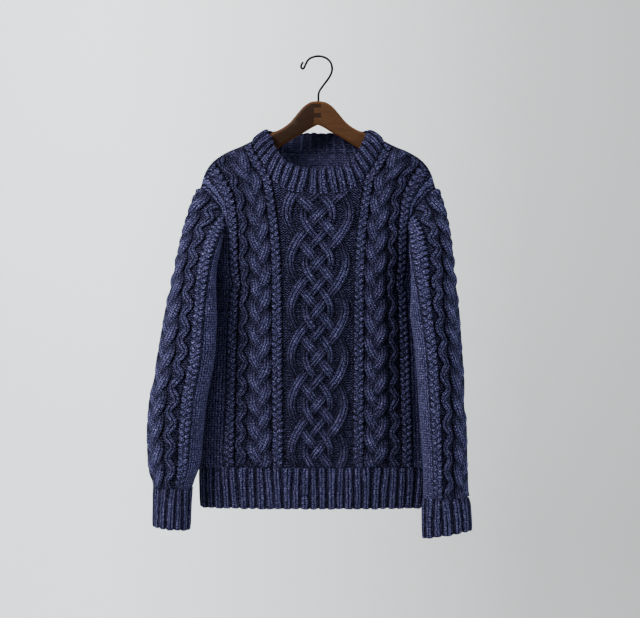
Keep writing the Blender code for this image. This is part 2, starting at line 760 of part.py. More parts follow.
def ring_normals(rings, side):
    """Outward normals of rings that close on themselves."""
    around = np.roll(rings, -1, axis=1) - np.roll(rings, 1, axis=1)
    down = np.gradient(rings, axis=0)
    return unit(np.cross(around, down)) * side


def build_tube(name, rings, normals, relief, colour, wall=WALL, seam=None, coarse_step=2, row_step=3):
    """Tube of closed rings: fine outside with relief, coarse inside, flat or sewn ends.

    A sewn first end has its own ring of seam points, with the rings' columns
    joined to it by their place round the tube.
    """
    count = rings.shape[1]
    places = seam["turns"] if seam else np.arange(count) / count
    outer = rings + normals * relief[..., None]
    first = 1 if seam else 0
    body = []
    faces = []

    def add(ring_points):
        start = len(body)
        body.extend(ring_points)
        return list(range(start, len(body)))

    shell = rings - normals * wall
    for layer in (outer, shell):
        layer[-1, :, 2] = rings[-1, :, 2]
        if not seam:
            layer[0, :, 2] = rings[0, :, 2]
    fine_rings = [add(ring) for ring in outer[first:]]
    picks = list(range(0, count, coarse_step))
    inside = sorted(set(range(first, len(rings), row_step)) | {len(rings) - 1})
    coarse_rings = [add(shell[k, picks]) for k in inside]
    for upper, lower in zip(fine_rings[:-1], fine_rings[1:]):
        for k in range(count):
            a, b = upper[k], upper[(k + 1) % count]
            c, d = lower[(k + 1) % count], lower[k]
            faces += [(a, b, c), (a, c, d)] if k % 2 else [(a, b, d), (b, c, d)]
    for upper, lower in zip(coarse_rings[:-1], coarse_rings[1:]):
        for k in range(len(picks)):
            a, b = upper[k], upper[(k + 1) % len(picks)]
            c, d = lower[(k + 1) % len(picks)], lower[k]
            faces += [(a, c, b), (a, d, c)]
    faces += fan_rim(fine_rings[-1], coarse_rings[-1], picks, body)
    if seam:
        fine_seam = add(seam["points"])
        coarse_seam = add(seam["inside"])
        faces += join_rings(fine_seam, seam["places"], fine_rings[0], places)
        inner_places = [seam["places"][k] for k in seam["marks"]]
        coarse_places = [places[k] for k in picks]
        joined = join_rings(coarse_seam, inner_places, coarse_rings[0], coarse_places)
        faces += [face[::-1] for face in joined]
        faces += [face[::-1] for face in fan_rim(fine_seam, coarse_seam, seam["marks"], body)]
    else:
        faces += [face[::-1] for face in fan_rim(fine_rings[0], coarse_rings[0], picks, body)]
    return make_object(name, body, faces, colour)


def seam_for_tube(keys, loop, directions, paths, order, places, turns, wall):
    """Seam ring of a tube, in the order of its columns, with the panels' inside marks."""
    shifted = loop + GAP * paths
    points = shifted[order]
    inside = (shifted - directions * wall)[order]
    picks = []
    for k, index in enumerate(order):
        name, row, col = keys[index]
        middle = len(COLUMNS) - 1
        if row in INSIDE_ROWS[name] and abs(col - middle) in INSIDE_COLUMNS:
            picks.append(k)
    return {"points": points, "inside": inside[picks], "marks": picks, "places": places, "turns": turns}


def build_sleeve(prefix, grids):
    """Sleeve and cuff of one side, and what the panels need to know of the seam."""
    side, table, leaving_table, cuff_seam, cuff_end, cuff_rise = SLEEVES[prefix]
    keys, loop, before = armhole_loop(grids, side)
    rings, turns, order, ring_places = sleeve_grid(side, table, leaving_table, cuff_seam, loop)
    normals = ring_normals(rings, side)
    # Places on the seam fall with the back first, so they are turned to match the columns
    order = np.concatenate([order[:1], order[:0:-1]])
    places = np.concatenate([ring_places[:1], 1.0 - ring_places[:0:-1]])
    first = np.stack([np.interp(places, np.append(turns, 1.0), np.append(rings[1][:, k], rings[1][0, k]))
                      for k in range(3)], axis=-1)
    after = np.zeros_like(loop)
    after[order] = first - loop[order]
    directions, paths = seam_frames(loop, before, after)
    directions = directions * side
    seam = seam_for_tube(keys, loop, directions, paths, order, places, turns, WALL)
    s = np.where(turns <= 0.5, turns, turns - 1.0) * 2 * SLEEVE_HALF_ROUND
    relief = sleeve_relief(s[None, :], rings[..., 2])
    relief[0] = 0.0
    relief[1] *= 0.5
    rings[-1, :, 2] += GAP
    build_tube(prefix + "_sleeve", rings, normals, relief, WOOL_BLUE, seam=seam)
    build_cuff(prefix, side, table, cuff_seam, cuff_end, cuff_rise)
    return keys, directions, paths


def build_cuff(prefix, side, table, seam_z, end_z, rise):
    """Ribbed cuff: a short tube with ribs, its end tipped up on the outside."""
    ribs = 14
    count = ribs * 3
    angle = -np.arange(count) / count * 2 * math.pi
    rings = []
    for t in (0.0, 0.35, 0.7, 1.0):
        z = seam_z - GAP + (end_z - seam_z) * t + rise * t * np.cos(angle)
        rings.append(sleeve_section(table, angle, z))
    rings = np.array(rings)
    rings[..., 0] *= side
    relief = np.broadcast_to(rib_relief(count, 0), rings.shape[:2]).copy()
    relief[-1] *= 0.6
    normals = ring_normals(rings, side)
    normals[..., 2] = 0.0
    build_tube(prefix + "_cuff", rings, unit(normals), relief, WOOL_BLUE, coarse_step=3)


def build_hem(name, side):
    """Ribbed hem under a panel, one half of the way round."""
    ribs = 30
    count = ribs * 3 + 1
    heights = (HEM_SEAM - GAP, -0.738, -0.762, -0.785)
    depth_column = 2 if side < 0 else 3
    outer = []
    inner = []
    for z in heights:
        edge = side_edge(z)
        sample = edge * np.sin(np.linspace(-math.pi / 2, math.pi / 2, 401))
        depth = torso_depth(np.abs(sample), z, depth_column)
        walk = np.concatenate([[0.0], np.cumsum(np.hypot(np.diff(sample), np.diff(depth)))])
        x = np.interp(np.linspace(0.0, walk[-1], count), walk, sample)
        y = side * torso_depth(np.abs(x), z, depth_column)
        line = np.stack([x, y], axis=-1)
        turn = np.gradient(line, axis=0)
        normal = unit(np.stack([turn[:, 1], -turn[:, 0]], axis=-1)) * -side
        normal[[0, -1]] = ((-1.0, 0.0), (1.0, 0.0))
        relief = rib_relief(count, 1) * (0.6 if z == heights[-1] else 1.0)
        relief[[0, -1]] = 0.0
        line[[0, -1], 1] = side * GAP
        level = np.full((count, 1), z)
        outer.append(np.hstack([line + normal * relief[:, None], level]))
        inner.append(np.hstack([line - normal * WALL, level]))
    marks = list(range(0, count, 3))
    last_row = len(heights) - 1
    body = list(np.concatenate(outer))
    start = len(body)
    for row in (0, last_row):
        body += list(inner[row][marks])
    faces = []
    for row in range(last_row):
        for k in range(count - 1):
            a, b = row * count + k, row * count + k + 1
            c, d = b + count, a + count
            faces += [(a, b, c), (a, c, d)]
    coarse = len(marks)
    for k in range(coarse - 1):
        a, b = start + k, start + k + 1
        c, d = b + coarse, a + coarse
        faces += [(a, c, b), (a, d, c)]
    border = [(0, k) for k in range(count)] + [(row, count - 1) for row in range(1, last_row)]
    border += [(last_row, k) for k in range(count - 1, -1, -1)] + [(row, 0) for row in range(last_row - 1, 0, -1)]
    fine = [row * count + k for row, k in border]
    picks = [n for n, (row, k) in enumerate(border) if row in (0, last_row) and k % 3 == 0]
    rim = [start + (coarse if border[n][0] else 0) + border[n][1] // 3 for n in picks]
    faces += [face[::-1] for face in fan_rim(fine, rim, picks, body)]
    return make_object(name, body, faces, WOOL_BLUE)


def build_neckband(grids):
    """Ribbed neckband: a ring that stands on the neck seam."""
    keys, loop, before = neck_loop(grids)
    n = len(loop)
    middle = len(COLUMNS) - 1
    names = [key[0] for key in keys]
    start = keys.index(("front", PANELS["front"][2], middle))
    order = np.roll(np.arange(n), -start)
    ring = loop[order]
    closed = np.vstack([ring, ring[:1]])
    walk = np.concatenate([[0.0], np.cumsum(np.linalg.norm(np.diff(closed, axis=0), axis=1))])
    shoulder = [k for k in range(n) if keys[order[k]][1] == PANEL_TOP_ROW]
    back = [k for k in range(n) if names[order[k]] == "back"]
    rear = (back[0] + back[-1]) // 2
    edge = np.array(BAND_EDGE)
    edge_walk = np.concatenate([[0.0], np.cumsum(np.linalg.norm(np.diff(edge, axis=0), axis=1))])
    corner = round(edge_walk[BAND_CORNER] / edge_walk[-1] / 2 * BAND_RIBS) / BAND_RIBS
    knots = [0.0, walk[shoulder[0]], walk[rear], walk[shoulder[-1]], walk[-1]]
    places = np.interp(walk[:-1], knots, [0.0, corner, 0.5, 1.0 - corner, 1.0])
    count = BAND_RIBS * 3
    turns = np.arange(count) / count
    low = np.stack([np.interp(turns, np.append(places, 1.0), closed[:, k]) for k in range(3)], axis=-1)
    fold = np.where(turns <= 0.5, turns, 1.0 - turns)
    fold = np.interp(fold, [0.0, corner, 0.5], [0.0, edge_walk[BAND_CORNER], edge_walk[-1]])
    high = np.stack([smooth(fold, edge_walk, edge[:, k]) for k in range(3)], axis=-1)
    high[:, 0] *= np.where(turns <= 0.5, 1.0, -1.0)
    rings = np.array([low + (high - low) * t for t in (0.0, 0.10, 0.5, 0.93, 1.0)])
    around = np.roll(rings, -1, axis=1) - np.roll(rings, 1, axis=1)
    up = np.gradient(rings, axis=0)
    normals = unit(np.cross(around, up))
    bow = np.array([0.0, 0.0008, 0.0020, 0.0006, 0.0])
    rings = rings + normals * bow[:, None, None]
    seam_after = np.stack([np.interp(places, np.append(turns, 1.0), np.append(rings[1][:, k], rings[1][0, k]))
                           for k in range(3)], axis=-1)
    after = np.zeros_like(loop)
    after[order] = seam_after - ring
    directions, paths = seam_frames(loop, before, after)
    directions = -directions
    seam = seam_for_tube(keys, loop, directions, paths, order, places, turns, WALL)
    fall = np.array([0.0, 1.0, 1.0, 1.0, 0.3])
    relief = fall[:, None] * rib_relief(count, 0)[None, :]
    build_tube("neckband", rings, normals, relief, WOOL_BLUE, wall=BAND_WALL, seam=seam, coarse_step=3)
    return keys, directions, paths


def build_hanger():
    """Wooden arms: sections across the arm, mirrored about the middle."""
    table = np.array(HANGER_ARM)
    stations = np.concatenate([-table[:0:-1, :1], table[:, :1]])[:, 0]
    rest = np.concatenate([table[:0:-1, 1:], table[:, 1:]])
    # share of the half thickness, share of the height from top to bottom, rounding down from the top
    profile = ((0.0, 0.0), (0.6, 0.2), (0.95, 0.7), (1.0, 1.0))
    body = []
    for x, (top, bottom, half) in zip(stations, rest):
        drop = min(1.4 * half, (top - bottom) / 2)
        right = [(half * w, top - drop * d) for w, d in profile]
        right += [(half, bottom + drop * 0.45), (half * 0.6, bottom + drop * 0.06)]
        left = [(-y, z) for y, z in right[:0:-1]]
        section = right + [(0.0, bottom)] + left
        body += [(x, y, z) for y, z in section]
    size = len(body) // len(stations)
    faces = []
    for k in range(len(stations) - 1):
        for i in range(size):
            a, b = k * size + i, k * size + (i + 1) % size
            faces += [(a, b, b + size), (a, b + size, a + size)]
    for k, turn in ((0, -1), (len(stations) - 1, 1)):
        centre = len(body)
        ring = np.array(body[k * size:(k + 1) * size])
        body.append(tuple(ring.mean(axis=0) + np.array([turn * 0.0015, 0.0, 0.0])))
        for i in range(size):
            pair = (k * size + i, k * size + (i + 1) % size)
            faces.append((pair[0], pair[1], centre)[::turn])
    return make_object("hanger_body", body, [tuple(face) for face in faces], WOOD_BROWN, 0.5)


def build_hook():
    """Wire hook: a round section carried along the hook's line."""
    table = np.array(HOOK_LINE)
    knots = np.arange(len(table))
    where = np.linspace(0, len(table) - 1, (len(table) - 1) * WIRE_STEPS + 1)
    line = np.stack([smooth(where, knots, table[:, k]) for k in range(3)], axis=-1)
    for _ in range(2):
        line[1:-1] = line[1:-1] * 0.5 + (line[:-2] + line[2:]) * 0.25
    along = unit(np.gradient(line, axis=0))
    along[0] = (0.0, 0.0, 1.0)
    side = np.array([0.0, 1.0, 0.0])
    across = unit(np.cross(along, side))
    turn = np.arange(WIRE_SIDES) / WIRE_SIDES * 2 * math.pi
    body = []
    for point, out in zip(line, across):
        ring = point + WIRE_RADIUS * (np.cos(turn)[:, None] * out + np.sin(turn)[:, None] * side)
        body += ring.tolist()
    faces = []
    rings = len(line)
    for k in range(rings - 1):
        for i in range(WIRE_SIDES):
            a, b = k * WIRE_SIDES + i, k * WIRE_SIDES + (i + 1) % WIRE_SIDES
            faces += [(a, b, b + WIRE_SIDES), (a, b + WIRE_SIDES, a + WIRE_SIDES)]
    for k, turned in ((0, True), (rings - 1, False)):
        centre = len(body)
        body.append(line[k].tolist())
        for i in range(WIRE_SIDES):
            pair = [k * WIRE_SIDES + i, k * WIRE_SIDES + (i + 1) % WIRE_SIDES]
            faces.append(tuple(pair[::-1] + [centre]) if turned else tuple(pair + [centre]))
    return make_object("hanger_hook", body, faces, WIRE_BLACK, 0.4)


def main():
    for item in list(bpy.data.objects):
        bpy.data.objects.remove(item)
    grids = {name: whole_panel(name) for name in PANELS}
    seams = [build_sleeve(prefix, grids) for prefix in SLEEVES]
    seams.append(build_neckband(grids))
    for name in PANELS:
        build_panel(name, grids[name], seams)
    build_hem("front_hem_rib", -1)
    build_hem("back_hem_rib", 1)
    build_hanger()
    build_hook()


main()
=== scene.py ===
"""Looks of the aran sweater on its wooden hanger.

Metres, +Z up, the front faces -Y, and the origin is the inside top of the
hook. Each knitted piece is a surface of two parameters: how far across the
knitting a point lies from the middle wale, and how high along it. The ground
is that surface on a fine grid. The cables are round strands carried along
paths over it, and the single stitches follow each piece's own UV map, whose
U counts wales and whose V counts courses.
"""
import math

import bpy
import numpy as np
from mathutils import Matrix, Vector

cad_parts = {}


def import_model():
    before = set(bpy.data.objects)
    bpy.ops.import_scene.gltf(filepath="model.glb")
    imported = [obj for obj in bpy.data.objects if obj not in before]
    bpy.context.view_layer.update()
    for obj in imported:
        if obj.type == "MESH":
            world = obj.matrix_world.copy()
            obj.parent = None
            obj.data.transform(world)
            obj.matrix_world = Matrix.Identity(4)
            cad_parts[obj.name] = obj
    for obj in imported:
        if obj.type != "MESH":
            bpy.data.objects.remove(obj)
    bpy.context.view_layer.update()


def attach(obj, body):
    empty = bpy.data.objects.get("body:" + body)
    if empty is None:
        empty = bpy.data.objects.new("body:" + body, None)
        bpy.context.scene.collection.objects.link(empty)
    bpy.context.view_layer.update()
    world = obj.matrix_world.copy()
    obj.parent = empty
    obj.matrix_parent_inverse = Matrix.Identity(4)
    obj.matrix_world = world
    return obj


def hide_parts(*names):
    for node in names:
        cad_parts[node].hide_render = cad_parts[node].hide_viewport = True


WALL = 0.0030
FULLNESS = 2.5
CLOSING = 0.15
HEM_SEAM = -0.7143
UNDERARM = -0.408
STRAP_START = -0.300
# rows of knitting steps from the hem seam to the underarm, to the strap and to the shoulder
UNDERARM_ROW = 23
STRAP_ROW = 31
PANEL_TOP_ROW = 44
# grid rows to a step of knitting, and points that half a section and a whole one are measured with
FINE = 6
HALF_LINE = 481
WHOLE_LINE = 1201

GRID_STEP = 0.0023

WALE = 0.0058
COURSE = 0.0042
# the ground's height, how much lower it is between cables and how much painted shade darkens it there,
# and over what width
PUFF = 0.0010
GROUND_SINK = 0.0008
GROUND_PAINTED_SHADE = 0.44
GROUND_CHANGE = 0.004
SEAM_FADE = 0.007
SEAM_GAP = 0.00015
RIB_FADE = 0.022

BRAID_PERIOD = 0.0805
BRAID_START = -0.4828
BRAID_CROSSING = 0.032
BRAID_LOBE = 0.015
BRAID_INNER = 0.022
PLAIT_PERIOD = 0.12075
PLAIT_REACH = 0.0130
ZIGZAG_PERIOD = 0.04025
ZIGZAG_REACH = 0.0055
CORD_PERIOD = 0.0327
CORD_REACH = 0.0062
CABLE_EDGE = 0.166
# how far to each side the ends of a cable's columns are looked for
CABLE_REACH = 0.014
BRAID_REACH = 0.060

# height, half width, front depth, back depth
TORSO = (
    (-0.790, 0.205, 0.052, 0.045),
    (-0.714, 0.207, 0.060, 0.050),
    (-0.600, 0.200, 0.066, 0.052),
    (-0.500, 0.192, 0.072, 0.055),
    (-0.408, 0.184, 0.074, 0.056),
    (-0.350, 0.186, 0.069, 0.054),
    (-0.300, 0.192, 0.062, 0.049),
    (-0.260, 0.208, 0.057, 0.047),
    (-0.227, 0.226, 0.053, 0.045),
    (-0.147, 0.270, 0.048, 0.042),
    (-0.100, 0.280, 0.048, 0.042),
)

# height, distance of the armhole seam from the middle
ARMHOLE = (
    (-0.408, 0.184),
    (-0.370, 0.176),
    (-0.335, 0.167),
    (-0.303, 0.162),
    (-0.271, 0.166),
    (-0.247, 0.181),
    (-0.232, 0.196),
    (-0.227, 0.205),
)

# height, width of knitting from the middle to the side or armhole
KNIT_WIDTH = (
    (-0.408, 0.235),
    (-0.370, 0.200),
    (-0.335, 0.185),
    (-0.303, 0.178),
    (-0.227, 0.175),
)

# distance from the middle, height of the shoulder line
SHOULDER = (
    (0.1155, -0.147),
    (0.1360, -0.157),
    (0.1575, -0.166),
    (0.1800, -0.180),
    (0.1925, -0.194),
    (0.1995, -0.208),
    (0.2050, -0.227),
)

# share of the way from the middle to the neck column, height that the panel closes at
NECK_CLOSING = (
    (0.0, -0.100),
    (0.7, -0.118),
    (1.0, -0.147),
)

# distance from the middle, height of the neck edge
FRONT_NECK = (
    (0.000, -0.243),
    (0.037, -0.240),
    (0.061, -0.231),
    (0.083, -0.213),
)
BACK_NECK = (
    (0.000, -0.168),
    (0.060, -0.166),
    (0.090, -0.162),
    (0.108, -0.157),
)

# height, distance from the middle of the column that ends at the shoulder's neck point
FRONT_GUIDE = (
    (-0.714, 0.0600),
    (-0.400, 0.0620),
    (-0.320, 0.0660),
    (-0.270, 0.0720),
    (-0.243, 0.0760),
    (-0.216, 0.0810),
    (-0.194, 0.0950),
    (-0.171, 0.1080),
    (-0.147, 0.1155),
)
BACK_GUIDE = (
    (-0.714, 0.1190),
    (-0.400, 0.1160),
    (-0.300, 0.1170),
    (-0.220, 0.1165),
    (-0.180, 0.1120),
    (-0.157, 0.1075),
    (-0.150, 0.1120),
    (-0.147, 0.1155),
)
PLAIN_TO = 0.235

# side, column of its depth in the torso's table, knitting width at the guide column,
# last row under the neck, neck edge, guide
PANELS = {
    "front": (-1, 2, 0.062, 36, FRONT_NECK, FRONT_GUIDE),
    "back": (1, 3, 0.124, 41, BACK_NECK, BACK_GUIDE),
}

# start across, start height, end across, end height, half width, depth (minus is a trough)
FOLDS = {
    "front": (
        (-0.150, -0.290, -0.120, -0.640, 0.016, -0.0050),
        (-0.176, -0.360, -0.150, -0.700, 0.012, -0.0040),
        (0.150, -0.300, 0.145, -0.640, 0.015, -0.0045),
        (-0.100, -0.300, -0.095, -0.700, 0.030, 0.0025),
        (0.105, -0.280, 0.110, -0.700, 0.030, 0.0025),
        (0.035, -0.480, 0.055, -0.740, 0.026, -0.0022),
        (-0.045, -0.460, -0.060, -0.740, 0.026, -0.0020),
    ),
    "back": (
        (-0.150, -0.290, -0.125, -0.640, 0.018, -0.0040),
        (0.150, -0.290, 0.125, -0.640, 0.018, -0.0040),
        (-0.040, -0.300, -0.055, -0.700, 0.030, -0.0025),
        (0.050, -0.350, 0.060, -0.720, 0.030, -0.0025),
    ),
}

# height, outer reach, inner reach, middle depth, half depth, lean in degrees
LEFT_SLEEVE = (
    (-0.830, 0.2830, 0.2232, -0.045, 0.035, 0),
    (-0.766, 0.2815, 0.2202, -0.046, 0.036, 0),
    (-0.740, 0.2830, 0.2148, -0.048, 0.038, 0),
    (-0.705, 0.2884, 0.2026, -0.050, 0.042, 5),
    (-0.6526, 0.2898, 0.1972, -0.054, 0.046, 8),
    (-0.600, 0.2864, 0.1913, -0.056, 0.048, 12),
    (-0.5126, 0.2712, 0.1756, -0.058, 0.052, 20),
    (-0.425, 0.2570, 0.1717, -0.054, 0.055, 24),
    (-0.355, 0.2461, 0.1674, -0.034, 0.058, 14),
    (-0.320, 0.2371, 0.1604, -0.022, 0.058, 10),
    (-0.285, 0.2269, 0.1572, -0.010, 0.048, 5),
    (-0.259, 0.2190, 0.1640, -0.004, 0.034, 0),
    (-0.227, 0.2055, 0.1900, 0.000, 0.012, 0),
)
RIGHT_SLEEVE = (
    (-0.830, 0.2632, 0.1818, -0.052, 0.024, 0),
    (-0.775, 0.2593, 0.1809, -0.056, 0.028, 0),
    (-0.740, 0.2539, 0.1809, -0.060, 0.036, 5),
    (-0.705, 0.2515, 0.1794, -0.066, 0.042, 10),
    (-0.6526, 0.2505, 0.1755, -0.072, 0.048, 15),
    (-0.600, 0.2486, 0.1716, -0.076, 0.052, 20),
    (-0.5126, 0.2427, 0.1650, -0.079, 0.053, 25),
    (-0.425, 0.2360, 0.1530, -0.075, 0.052, 25),
    (-0.355, 0.2222, 0.1480, -0.046, 0.058, 20),
    (-0.3026, 0.2138, 0.1470, -0.022, 0.054, 10),
    (-0.285, 0.2134, 0.1522, -0.014, 0.048, 5),
    (-0.259, 0.2105, 0.1620, -0.006, 0.034, 0),
    (-0.227, 0.2045, 0.1900, 0.000, 0.012, 0),
)
# height where a sleeve's cap ends, and how strongly its columns leave the armhole and fall there
CAP_END = -0.460
LEAVE = 1.1
FALL = 0.9
FALL_STEP = 0.02
FACING = 42.0
SLEEVE_HALF_ROUND = 0.150
# painted light: the sleeves' cables are painted this much brighter, as they hang in front and get more
# light
SLEEVE_PAINTED_LIGHT = 1.15
SLEEVE_COLUMNS = 129
CAP_ROWS = 97
# place round the armhole from its top over the front, and the direction the
# sleeve leaves in: outwards, backwards, upwards
LEFT_LEAVING = (
    (0.000, 0.40, 0.00, -0.92),
    (0.125, 0.55, -0.50, -0.65),
    (0.250, 0.20, -0.95, -0.25),
    (0.375, 0.10, -0.98, -0.15),
    (0.500, 0.85, -0.50, 0.00),
    (0.625, 0.72, 0.68, -0.15),
    (0.750, 0.70, 0.65, -0.30),
    (0.875, 0.60, 0.42, -0.65),
    (1.000, 0.40, 0.00, -0.92),
)
RIGHT_LEAVING = (
    (0.000, 0.35, 0.00, -0.93),
    (0.125, 0.45, -0.60, -0.60),
    (0.250, -0.25, -0.95, -0.15),
    (0.375, -0.05, -0.98, -0.10),
    (0.500, 0.75, -0.60, 0.30),
    (0.625, 0.75, 0.25, -0.25),
    (0.750, 0.70, 0.60, -0.35),
    (0.875, 0.60, 0.40, -0.65),
    (1.000, 0.35, 0.00, -0.93),
)
# side, hanging form, leaving directions, cuff seam height, cuff end height, rise of the outer end
SLEEVES = {
    "left": (-1, LEFT_SLEEVE, LEFT_LEAVING, -0.7480, -0.8175, 0.0035),
    "right": (1, RIGHT_SLEEVE, RIGHT_LEAVING, -0.7650, -0.8275, 0.0075),
}

# turn from the top line, height, half width in turns, half height, depth (minus is a trough)
SLEEVE_FOLDS = {
    "left": (
        (0.20, -0.430, 0.09, 0.020, -0.0045),
        (0.24, -0.480, 0.08, 0.016, -0.0035),
        (-0.10, -0.560, 0.10, 0.020, -0.0030),
        (0.12, -0.700, 0.09, 0.016, -0.0035),
        (-0.05, -0.735, 0.10, 0.014, -0.0030),
        (0.10, -0.640, 0.12, 0.018, 0.0025),
    ),
    "right": (
        (0.16, -0.400, 0.09, 0.020, -0.0040),
        (0.10, -0.470, 0.08, 0.018, -0.0030),
        (-0.08, -0.600, 0.10, 0.022, -0.0035),
        (0.14, -0.690, 0.10, 0.018, -0.0040),
        (0.00, -0.735, 0.12, 0.013, -0.0035),
    ),
}

# turn of an inner strand, and its lift: over at 1, under at -1
INNER_LIFT = (
    (0.00, -1.0),
    (0.25, 1.0),
    (0.75, -1.0),
    (1.00, 1.0),
    (1.25, -1.0),
    (1.75, 1.0),
    (2.00, -1.0),
)
# cable, distance of its middle line from the middle of the piece
PANEL_CABLES = (
    ("braid_outer", 0.0),
    ("braid_inner", 0.0),
    ("cord", 0.071),
    ("plait", 0.102),
    ("zigzag", 0.135),
    ("cord", 0.156),
)
SLEEVE_CABLES = (
    ("plait", 0.0),
    ("zigzag", 0.0345),
    ("cord", 0.057),
)
STRAND_STEP = 0.0022
SUNK = -0.0012
TOP_GAP = 0.001
END_GAP = 0.0006

# slot, distance from the middle that the cables' ground ends at, least share of the reverse
# side inside, cables, flat size, area, what it rests on
PANEL_LOOK = ("wool_panels", 0.169, 0.6, PANEL_CABLES, (0.47, 0.57), 0.245, "hanger_body")
SLEEVE_LOOK = ("wool_sleeves", 0.070, 1.0, SLEEVE_CABLES, (0.30, 0.53), 0.135, "front_ground")

# distance from the middle, depth, height of the neckband's upper edge
BAND_EDGE = (
    (0.0000, -0.0500, -0.2010),
    (0.0400, -0.0480, -0.1940),
    (0.0595, -0.0430, -0.1820),
    (0.0720, -0.0340, -0.1660),
    (0.0805, -0.0200, -0.1450),
    (0.0900, 0.0000, -0.1285),
    (0.0850, 0.0180, -0.1285),
    (0.0550, 0.0300, -0.1300),
    (0.0000, 0.0340, -0.1310),
)
BAND_CORNER = 5
BAND_BOW = 0.0020
# share of its height that a band is built to before its round edge
BAND_SHARE = 0.95
CUFF_SHARE = 0.965
HEM_EDGE = -0.7830
EDGE_ROWS = 8
# height of the ribs, how much lower they hang than the gullies, and how the edge waves
RIB_RISE = 0.0038
RIB_SAG = 0.0010
EDGE_WAVE = 0.0008
# how far the ribs wander, in ribs, all the way and near the seam
RIB_WANDER = 0.10
SEAM_WANDER = 0.26
# ribs, points across each, rows, how much of their height they have at the seam, how far along
# they have all of it, how much they lose towards the edge, wall, flat size
BANDS = {
    "hem": (30, 11, 26, 0.60, 0.18, 0.25, WALL, (0.56, 0.075)),
    "cuff": (14, 12, 26, 0.60, 0.20, 0.20, WALL, (0.26, 0.075)),
    "neckband": (36, 14, 24, 0.30, 0.22, 0.35, 0.0035, (0.60, 0.048)),
}
DOWN = np.array([0.0, 0.0, -1.0])

# distance from the middle, top height, bottom height, half thickness
HANGER_ARM = (
    (0.0000, -0.0768, -0.1188, 0.0065),
    (0.0110, -0.0782, -0.1242, 0.0065),
    (0.0215, -0.0835, -0.1308, 0.0065),
    (0.0310, -0.0925, -0.1360, 0.0065),
    (0.0400, -0.1035, -0.1410, 0.0065),
    (0.0490, -0.1140, -0.1462, 0.0065),
    (0.0620, -0.1240, -0.1545, 0.0065),
    (0.0780, -0.1318, -0.1645, 0.0065),
    (0.0950, -0.1400, -0.1745, 0.0065),
    (0.1155, -0.1527, -0.1850, 0.0062),
    (0.1360, -0.1615, -0.1925, 0.0060),
    (0.1575, -0.1713, -0.1990, 0.0056),
    (0.1720, -0.1811, -0.2040, 0.0050),
    (0.1800, -0.1886, -0.2055, 0.0042),
    (0.1830, -0.1960, -0.2035, 0.0024),
)

# distance from the middle, height of the middle of the hook's wire
HOOK_LINE = (
    (0.0007, -0.0790),
    (0.0007, -0.0690),
    (0.0012, -0.0630),
    (0.0040, -0.0570),
    (0.0145, -0.0430),
    (0.0222, -0.0315),
    (0.0252, -0.0205),
    (0.0222, -0.0090),
    (0.0130, -0.0010),
    (0.0010, 0.0019),
    (-0.0110, -0.0008),
    (-0.0165, -0.0042),
    (-0.0208, -0.0110),
    (-0.0232, -0.0168),
    (-0.0262, -0.0212),
    (-0.0298, -0.0184),
    (-0.0291, -0.0138),
    (-0.0268, -0.0100),
)
WIRE_RADIUS = 0.0020
HOOK_RINGS = 181
HOOK_SMOOTHING = 28
TIP_BULGE = 0.0015

CAMERA_DISTANCE = 3.1
CAMERA_ACROSS = 0.0035
CAMERA_HEIGHT = -0.441
PICTURE_WIDTH = 1.12
# name, place, what it is aimed at, size, watts, colour
LIGHTS = (
    ("window_light", (-2.3, -2.1, 1.3), (0.0, 0.0, -0.45), 1.1, 155.0, (1.0, 0.98, 0.96)),
    ("fill_light", (3.0, -1.4, 0.2), (0.0, 0.0, -0.45), 2.0, 60.0, (0.90, 0.95, 1.0)),
    ("backdrop_light", (-0.8, 1.6, 1.2), (-0.8, 4.6, -0.6), 3.0, 195.0, (0.95, 0.98, 1.0)),
)


def cubic(t, start, end, leaving, arriving):
    """Curve from start to end as t goes from 0 to 1, with its direction at both."""
    keep = start * (1 + 2 * t) * (1 - t) ** 2 + end * t * t * (3 - 2 * t)
    return keep + leaving * t * (1 - t) ** 2 - arriving * t * t * (1 - t)


def smooth(where, knots, values):
    """Smooth curve through a table, without overshooting between its rows."""
    knots = np.asarray(knots, float)
    values = np.asarray(values, float)
    step = np.diff(knots)
    rise = np.diff(values) / step
    product = rise[:-1] * rise[1:]
    total = np.where(product > 0, rise[:-1] + rise[1:], 1.0)
    inner = np.where(product > 0, 2.0 * product / total, 0.0)
    slope = np.concatenate([rise[:1], inner, rise[-1:]])
    where = np.clip(where, knots[0], knots[-1])
    k = np.clip(np.searchsorted(knots, where, side="right") - 1, 0, len(step) - 1)
    t = (where - knots[k]) / step[k]
    return cubic(t, values[k], values[k + 1], step[k] * slope[k], step[k] * slope[k + 1])


def read(table, where, index=1):
    """Smooth value of one column of a table, at places in its first column."""
    return smooth(where, [row[0] for row in table], [row[index] for row in table])


def unit(vectors):
    """Vectors scaled to length one."""
    length = np.linalg.norm(vectors, axis=-1, keepdims=True)
    return vectors / np.maximum(length, 1e-12)


def walked(points):
    """Distance walked from the first point of a line, or of each column of a grid."""
    step = np.linalg.norm(np.diff(points, axis=0), axis=-1)
    return np.concatenate([np.zeros_like(step[:1]), np.cumsum(step, axis=0)])


def points_at(where, walk, points, curve=np.interp):
    """Points of a line at distances walked along it."""
    return np.stack([curve(where, walk, part) for part in points.T], axis=-1)


def ease(t):
    """Soft step from 0 to 1."""
    t = np.clip(t, 0.0, 1.0)
    return t * t * (3.0 - 2.0 * t)


def dome(share, fullness=2.4):
    """Round section: 1 at its middle and 0 where share is 1 or more."""
    return np.clip(1.0 - np.abs(share) ** fullness, 0.0, 1.0) ** (1.0 / fullness)


